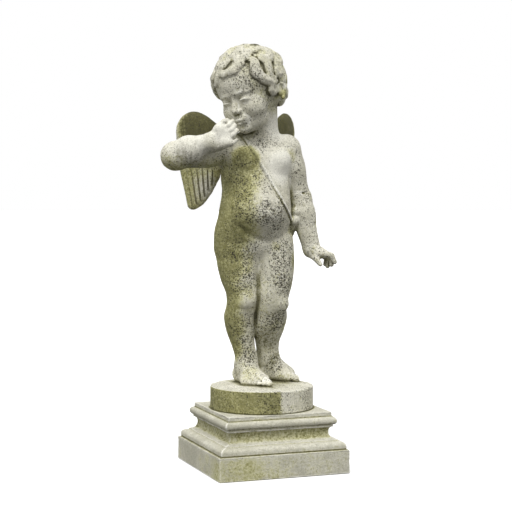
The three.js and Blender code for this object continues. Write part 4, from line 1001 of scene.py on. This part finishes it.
def make_plinth():
    outline = plinth_profile()
    inner = [[h, PLINTH_TOP] for h in (132, 124, 116, 108, 100, 80, 60, 40, 20, 4)]
    under = [[h, 0] for h in (4, 60, 120, 160)]
    line = dense([*under, *outline, *inner], 3.2)
    steps = 96
    rings = [np.column_stack([square_ring(h, 1.3, steps), np.full(4 * steps + 16, z)]) for h, z in line]
    n = len(rings[0])
    points = np.concatenate([*rings, [[0, 0, 0], [0, 0, PLINTH_TOP]]])
    i = np.arange(n)
    j = (i + 1) % n
    starts = range(0, (len(rings) - 1) * n, n)
    quads = [np.column_stack([k + i, k + j, k + n + j, k + n + i]) for k in starts]
    me = bpy.data.meshes.new("stone_plinth")
    faces = [*np.concatenate(quads).tolist()]
    low, high = len(points) - 2, len(points) - 1
    last = (len(rings) - 1) * n
    faces += [(low, (k + 1) % n, k) for k in range(n)]
    faces += [(high, last + k, last + (k + 1) % n) for k in range(n)]
    me.from_pydata((points * MM).tolist(), [], faces)
    me.polygons.foreach_set("use_smooth", np.ones(len(me.polygons), bool))
    me.update()
    obj = new_piece(me, "square_plinth")

    p, v = vertex_data(me)
    x, y, z = p.T
    # how hollow or how sharp the section is at each ring
    slope = np.gradient(line, axis=0)
    out = np.column_stack([slope[:, 1], -slope[:, 0]]) / (np.linalg.norm(slope, axis=1)[:, None] + TINY)
    narrow, broad = (ramp(1 - section_gap(outline, line + out * far) / far, 0.1, 0.7) for far in (4, 14))
    hollow = np.maximum(narrow, 0.62 * broad)
    sharp = ramp(1 + section_gap(outline, line - out * 5) / 5, 0.05, 0.5)
    # hollow becomes the mask of painted shade and dirt in the mouldings' hollows
    dirt_and_shade, edge = (np.concatenate([np.repeat(a, n), [0, 0]]) for a in (hollow, sharp))
    # sharp edges and arrises are painted paler: wear and painted highlight
    arris = 1 - ramp(np.abs(np.abs(x) - np.abs(y)), 1, 6)
    edge = np.maximum(edge, arris * ramp(np.hypot(x, y), 150, 180))
    free = ramp(z, 0.5, 4) * (1 - ramp(z, PLINTH_TOP - 0.5, PLINTH_TOP - 0.1) * ramp(v[:, 2], 0.8, 0.95))
    wear = (noise(p, 30) - 0.5) * 0.9 + (noise(p, 9, 3) - 0.5) * 0.7 + (noise(p, 4, 5) - 0.5) * 0.5
    chips = ramp(cloud(p, 17, 2, 9), 0.6, 0.72) * edge * 3.2 + edge * noise(p, 7, 2) * 0.9
    move(me, p + v * ((wear - chips) * free)[:, None])

    # joint: a ring of painted shade and dirt where the round base sits on the plinth
    joint = (1 - ramp(np.abs(np.hypot(x, y) - DISC_RADIUS), 1, 8)) * ramp(z, PLINTH_TOP - 2, PLINTH_TOP - 0.5)
    dirt_and_shade = np.maximum(dirt_and_shade, joint)
    scotia = ramp(z, 84, 92) * (1 - ramp(z, 112, 120))
    corner = ramp(-z, -75, -45) * patches(p, BLOCK_ALGAE)
    algae = np.maximum(corner, 0.62 * scotia)
    # algae also thickens along the mask of painted shade and dirt
    algae = np.maximum(algae, 0.85 * dirt_and_shade)
    algae = np.maximum(algae, 0.22 * (1 - ramp(v[:, 2], 0.2, 0.7)))
    algae = np.maximum(algae, 0.5 * ramp(v[:, 1], 0.1, 0.8))
    paint(me, "algae", algae)
    paint(me, "specks", -0.08 + 0.12 * (z < BLOCK_TOP))
    paint(me, "dirt_and_shade", dirt_and_shade)
    paint(me, "edge", edge)
    paint(me, "grime", 0.12 * (z < BLOCK_TOP) + 0.3 * scotia)
    # the scotia and the underside of the torus are darkened: painted shade
    shade = ramp(z, 112, 118) * (1 - ramp(z, 125, 128)) * ramp(-v[:, 2], 0.2, 0.6)
    paint(me, "stain_and_shade", np.maximum(0.5 * scotia, 0.6 * shade))
    return obj

# ---- stone

class Graph:
    """A short way to write a node material."""
    def __init__(self, name):
        self.mat = bpy.data.materials.new(name)
        self.mat.use_nodes = True
        self.tree = self.mat.node_tree
        self.tree.nodes.clear()
    def node(self, kind, settings=None, **inputs):
        n = self.tree.nodes.new("ShaderNode" + kind)
        for k, v in (settings or {}).items():
            setattr(n, k, v)
        for k, v in inputs.items():
            self.put(n.inputs[int(k[1:]) if k[0] == "_" and k[1:].isdigit() else k.replace("_", " ")], v)
        return n
    def put(self, socket, v):
        if isinstance(v, bpy.types.NodeSocket):
            self.tree.links.new(v, socket)
        elif isinstance(v, tuple) and len(v) == 3 and socket.type == "RGBA":
            socket.default_value = (*v, 1)
        else:
            socket.default_value = v
    def math(self, op, a, b):
        return self.node("Math", {"operation": op}, _0=a, _1=b).outputs[0]
    def fit(self, v, a, b, lo=0.0, hi=1.0):
        n = self.node("MapRange", {"interpolation_type": "SMOOTHSTEP"}, Value=v)
        for k, t in zip(("From Min", "From Max", "To Min", "To Max"), (a, b, lo, hi)):
            self.put(n.inputs[k], t)
        return n.outputs[0]
    def mix(self, factor, a, b):
        n = self.node("Mix", {"data_type": "RGBA", "clamp_factor": True})
        self.put(n.inputs[0], factor)
        self.put(n.inputs[6], a)
        self.put(n.inputs[7], b)
        return n.outputs[2]
    def noise(self, at, scale, detail=3.0, rough=0.55, warp=0.0):
        n = self.node("TexNoise", Vector=at, Scale=scale, Detail=detail, Roughness=rough, Distortion=warp)
        return n.outputs[0]
    def vector(self, operation, *values, **named):
        inputs = {f"_{i}": v for i, v in enumerate(values)}
        return self.node("VectorMath", {"operation": operation}, **inputs, **named).outputs[0]
    def painted(self, name):
        return self.node("Attribute", {"attribute_name": name}).outputs["Fac"]

# cells per metre, largest speck as part of a cell, shift of the pattern, chance above which a speck shows
SPECK_LAYERS = ((135.0, 0.42, 0.0, 0.94), (220.0, 0.5, 4.0, 0.76), (400.0, 0.54, 9.0, 0.64))

def stone(name, worn_and_highlight, pale, mid, shade, drift):
    g = Graph(name)
    where = g.node("TexCoord").outputs["Object"]
    where = g.vector("ADD", where, (drift, drift * 0.6, drift * 0.3))
    down = g.node("Mapping", Vector=where, Scale=(1, 1, 0.1)).outputs[0]
    algae, specks, dirt_and_shade = g.painted("algae"), g.painted("specks"), g.painted("dirt_and_shade")
    edge, grime, stain_and_shade = g.painted("edge"), g.painted("grime"), g.painted("stain_and_shade")

    broad = g.noise(where, 10, 4, 0.6, 0.4)
    blotch = g.noise(where, 38, 5, 0.65, 0.5)
    fine = g.noise(where, 170, 4, 0.65)
    grain = g.noise(where, 480, 3, 0.7)
    streak = g.noise(down, 75, 4, 0.65, 0.3)
    def wave(source, amount):
        return g.math("MULTIPLY", g.math("SUBTRACT", source, 0.5), amount)
    def total(first, *rest):
        for v in rest:
            first = g.math("ADD", first, v)
        return first

    # bare stone: pale and darker fields, mottled, paler on edges as wear and painted highlight
    base = g.mix(g.fit(total(wave(broad, 1.6), wave(blotch, 1.4), 0.5), 0.2, 0.8), mid, pale)
    base = g.mix(g.fit(total(fine, wave(blotch, 0.5)), 0.48, 0.68, 0, 0.5), base, shade)
    base = g.mix(g.fit(edge, 0.2, 0.95, 0, 0.7), base, worn_and_highlight)
    brown = g.math("MULTIPLY", grime, g.fit(total(streak, wave(fine, 0.5)), 0.42, 0.66))
    base = g.mix(g.math("MULTIPLY", brown, 0.8), base, (0.15, 0.13, 0.085))

    # algae: thin and grainy at its border, dark olive where it is thick
    thick = total(g.math("MULTIPLY", algae, 1.28), wave(broad, 0.7), wave(blotch, 0.9), wave(fine, 0.9))
    thick = total(thick, wave(streak, 0.3))
    cover = g.fit(thick, 0.22, 1.05)
    olive = g.mix(g.fit(total(thick, wave(fine, 1.3)), 0.5, 1.5), (0.55, 0.53, 0.25), (0.2, 0.19, 0.052))
    base = g.mix(g.math("MULTIPLY", cover, 0.9), base, olive)
    # near-black: dark stains, and painted shade in the scotia, under the torus and between the legs
    black = total(stain_and_shade, wave(fine, 0.9), wave(blotch, 0.6))
    base = g.mix(g.fit(black, 0.25, 0.95, 0, 0.92), base, (0.075, 0.07, 0.028))
    # creases and hollows darkened: painted shade and dirt
    base = g.mix(g.fit(total(dirt_and_shade, wave(fine, 0.4)), 0.3, 1.0, 0, 0.8), base, (0.09, 0.082, 0.042))

    # dark lichen specks that sit in small pits
    pits = None
    for scale, reach, shift, rare in SPECK_LAYERS:
        at = g.vector("ADD", where, (shift, shift, shift))
        wob = g.node("TexNoise", Vector=at, Scale=scale * 1.3, Detail=2.0).outputs["Color"]
        at = g.vector("MULTIPLY_ADD", wob, (0.7 / scale, 0.7 / scale, 0.7 / scale), at)
        cell = g.node("TexVoronoi", Vector=at, Scale=scale)
        chance = g.node("SeparateColor", _0=cell.outputs["Color"]).outputs[0]
        some = g.fit(total(chance, g.math("MULTIPLY", specks, 0.8)), rare, rare + 0.62)
        dot = g.fit(g.math("SUBTRACT", g.math("MULTIPLY", some, reach), cell.outputs["Distance"]), 0.0, 0.04)
        pits = dot if pits is None else g.math("MAXIMUM", pits, dot)
    patchy = g.fit(total(g.noise(where, 24, 3, 0.6), g.math("MULTIPLY", specks, 0.16)), 0.4, 0.56, 0.15, 1.0)
    spot = g.math("MULTIPLY", pits, patchy)
    base = g.mix(g.math("MULTIPLY", spot, 0.92), base, (0.055, 0.05, 0.034))
    # fine grain
    base = g.vector("SCALE", base, Scale=g.fit(grain, 0.25, 0.75, 0.74, 1.16))

    out = g.node("OutputMaterial")
    skin = g.node("BsdfPrincipled", Base_Color=base, Roughness=g.fit(blotch, 0.3, 0.7, 0.82, 0.96))
    skin.inputs["Specular IOR Level"].default_value = 0.25
    height = total(*(g.math("MULTIPLY", v, k) for v, k in ((grain, 0.5), (fine, 0.9), (spot, -0.6))))
    bump = g.node("Bump", Height=height, Strength=0.8, Distance=0.002)
    g.tree.links.new(bump.outputs[0], skin.inputs["Normal"])
    g.tree.links.new(skin.outputs[0], out.inputs[0])
    return g.mat

# ---- camera, floor and light

def aimed(azimuth, distance, height, pitch, yaw):
    """A camera matrix: azimuth round the object, pitch down and yaw right in degrees, lengths in metres."""
    a = azimuth * DEG
    at = Vector((sin(a) * distance, -cos(a) * distance, height))
    a, p = a + yaw * DEG, pitch * DEG
    ahead = Vector((-sin(a) * cos(p), cos(a) * cos(p), -sin(p)))
    right = Vector((cos(a), sin(a), 0))
    up = right.cross(ahead)
    m = Matrix((right, up, -ahead)).transposed().to_4x4()
    m.translation = at
    return m

def make_camera():
    data = bpy.data.cameras.new("camera")
    data.lens, data.sensor_width = 98.9, 36
    data.clip_start, data.clip_end = 0.1, 200
    cam = bpy.data.objects.new("camera", data)
    cam.matrix_world = aimed(-20.40, 3.6495, 0.7258, 2.785, 0.2297)
    bpy.context.scene.collection.objects.link(cam)
    bpy.context.scene.camera = cam

FLOOR_DROP = -0.0005  # metres, so that the floor and the underside don't share a plane

def make_stage():
    me = bpy.data.meshes.new("floor")
    n, r = 64, 40.0
    turns = [2 * pi * i / n for i in range(n)]
    me.from_pydata([(r * cos(a), r * sin(a), FLOOR_DROP) for a in turns], [], [list(range(n))])
    floor = bpy.data.objects.new("floor", me)
    bpy.context.scene.collection.objects.link(floor)
    g = Graph("floor_paint")
    skin = g.node("BsdfPrincipled", Base_Color=(0.93, 0.93, 0.93), Roughness=0.9)
    g.tree.links.new(skin.outputs[0], g.node("OutputMaterial").inputs[0])
    me.materials.append(g.mat)
    floor.visible_diffuse = False

def make_light():
    world = bpy.data.worlds.new("studio")
    bpy.context.scene.world = world
    world.use_nodes = True
    t = world.node_tree
    sky = t.nodes["Background"]
    coord = t.nodes.new("ShaderNodeTexCoord")
    split = t.nodes.new("ShaderNodeSeparateXYZ")
    fade = t.nodes.new("ShaderNodeMapRange")
    t.links.new(coord.outputs["Generated"], split.inputs[0])
    t.links.new(split.outputs["Z"], fade.inputs["Value"])
    for k, v in (("From Min", -0.12), ("From Max", -0.03), ("To Min", 0.05), ("To Max", 1.0)):
        fade.inputs[k].default_value = v
    sky.inputs["Color"].default_value = (1, 1, 1, 1)
    t.links.new(fade.outputs[0], sky.inputs["Strength"])
    def lamp(azimuth, elevation, strength, angle):
        data = bpy.data.lights.new("lamp", "SUN")
        data.energy, data.angle = strength, angle * DEG
        o = bpy.data.objects.new("lamp", data)
        a, e = azimuth * DEG, elevation * DEG
        back = Vector((sin(a) * cos(e), -cos(a) * cos(e), sin(e)))
        o.rotation_euler = back.to_track_quat("Z", "Y").to_euler()
        bpy.context.scene.collection.objects.link(o)
    lamp(-28, 58, 2.2, 30)
    bpy.context.scene.view_settings.view_transform = "Standard"

make_camera()
make_stage()
make_light()
# colours: worn edges and painted highlight, pale, mid, shade
FIGURE_STONE = ((0.82, 0.805, 0.72), (0.72, 0.7, 0.6), (0.56, 0.54, 0.43), (0.3, 0.28, 0.2))
PLINTH_STONE = ((0.78, 0.765, 0.69), (0.6, 0.583, 0.49), (0.465, 0.45, 0.357), (0.29, 0.275, 0.2))
dressed = [(make_figure(), "figure_stone", FIGURE_STONE, 0.0)]
dressed += [(make_plinth(), "plinth_stone", PLINTH_STONE, 3.0)]
for piece, name, colours, drift in dressed:
    piece.data.materials.clear()
    piece.data.materials.append(stone(name, *colours, drift))
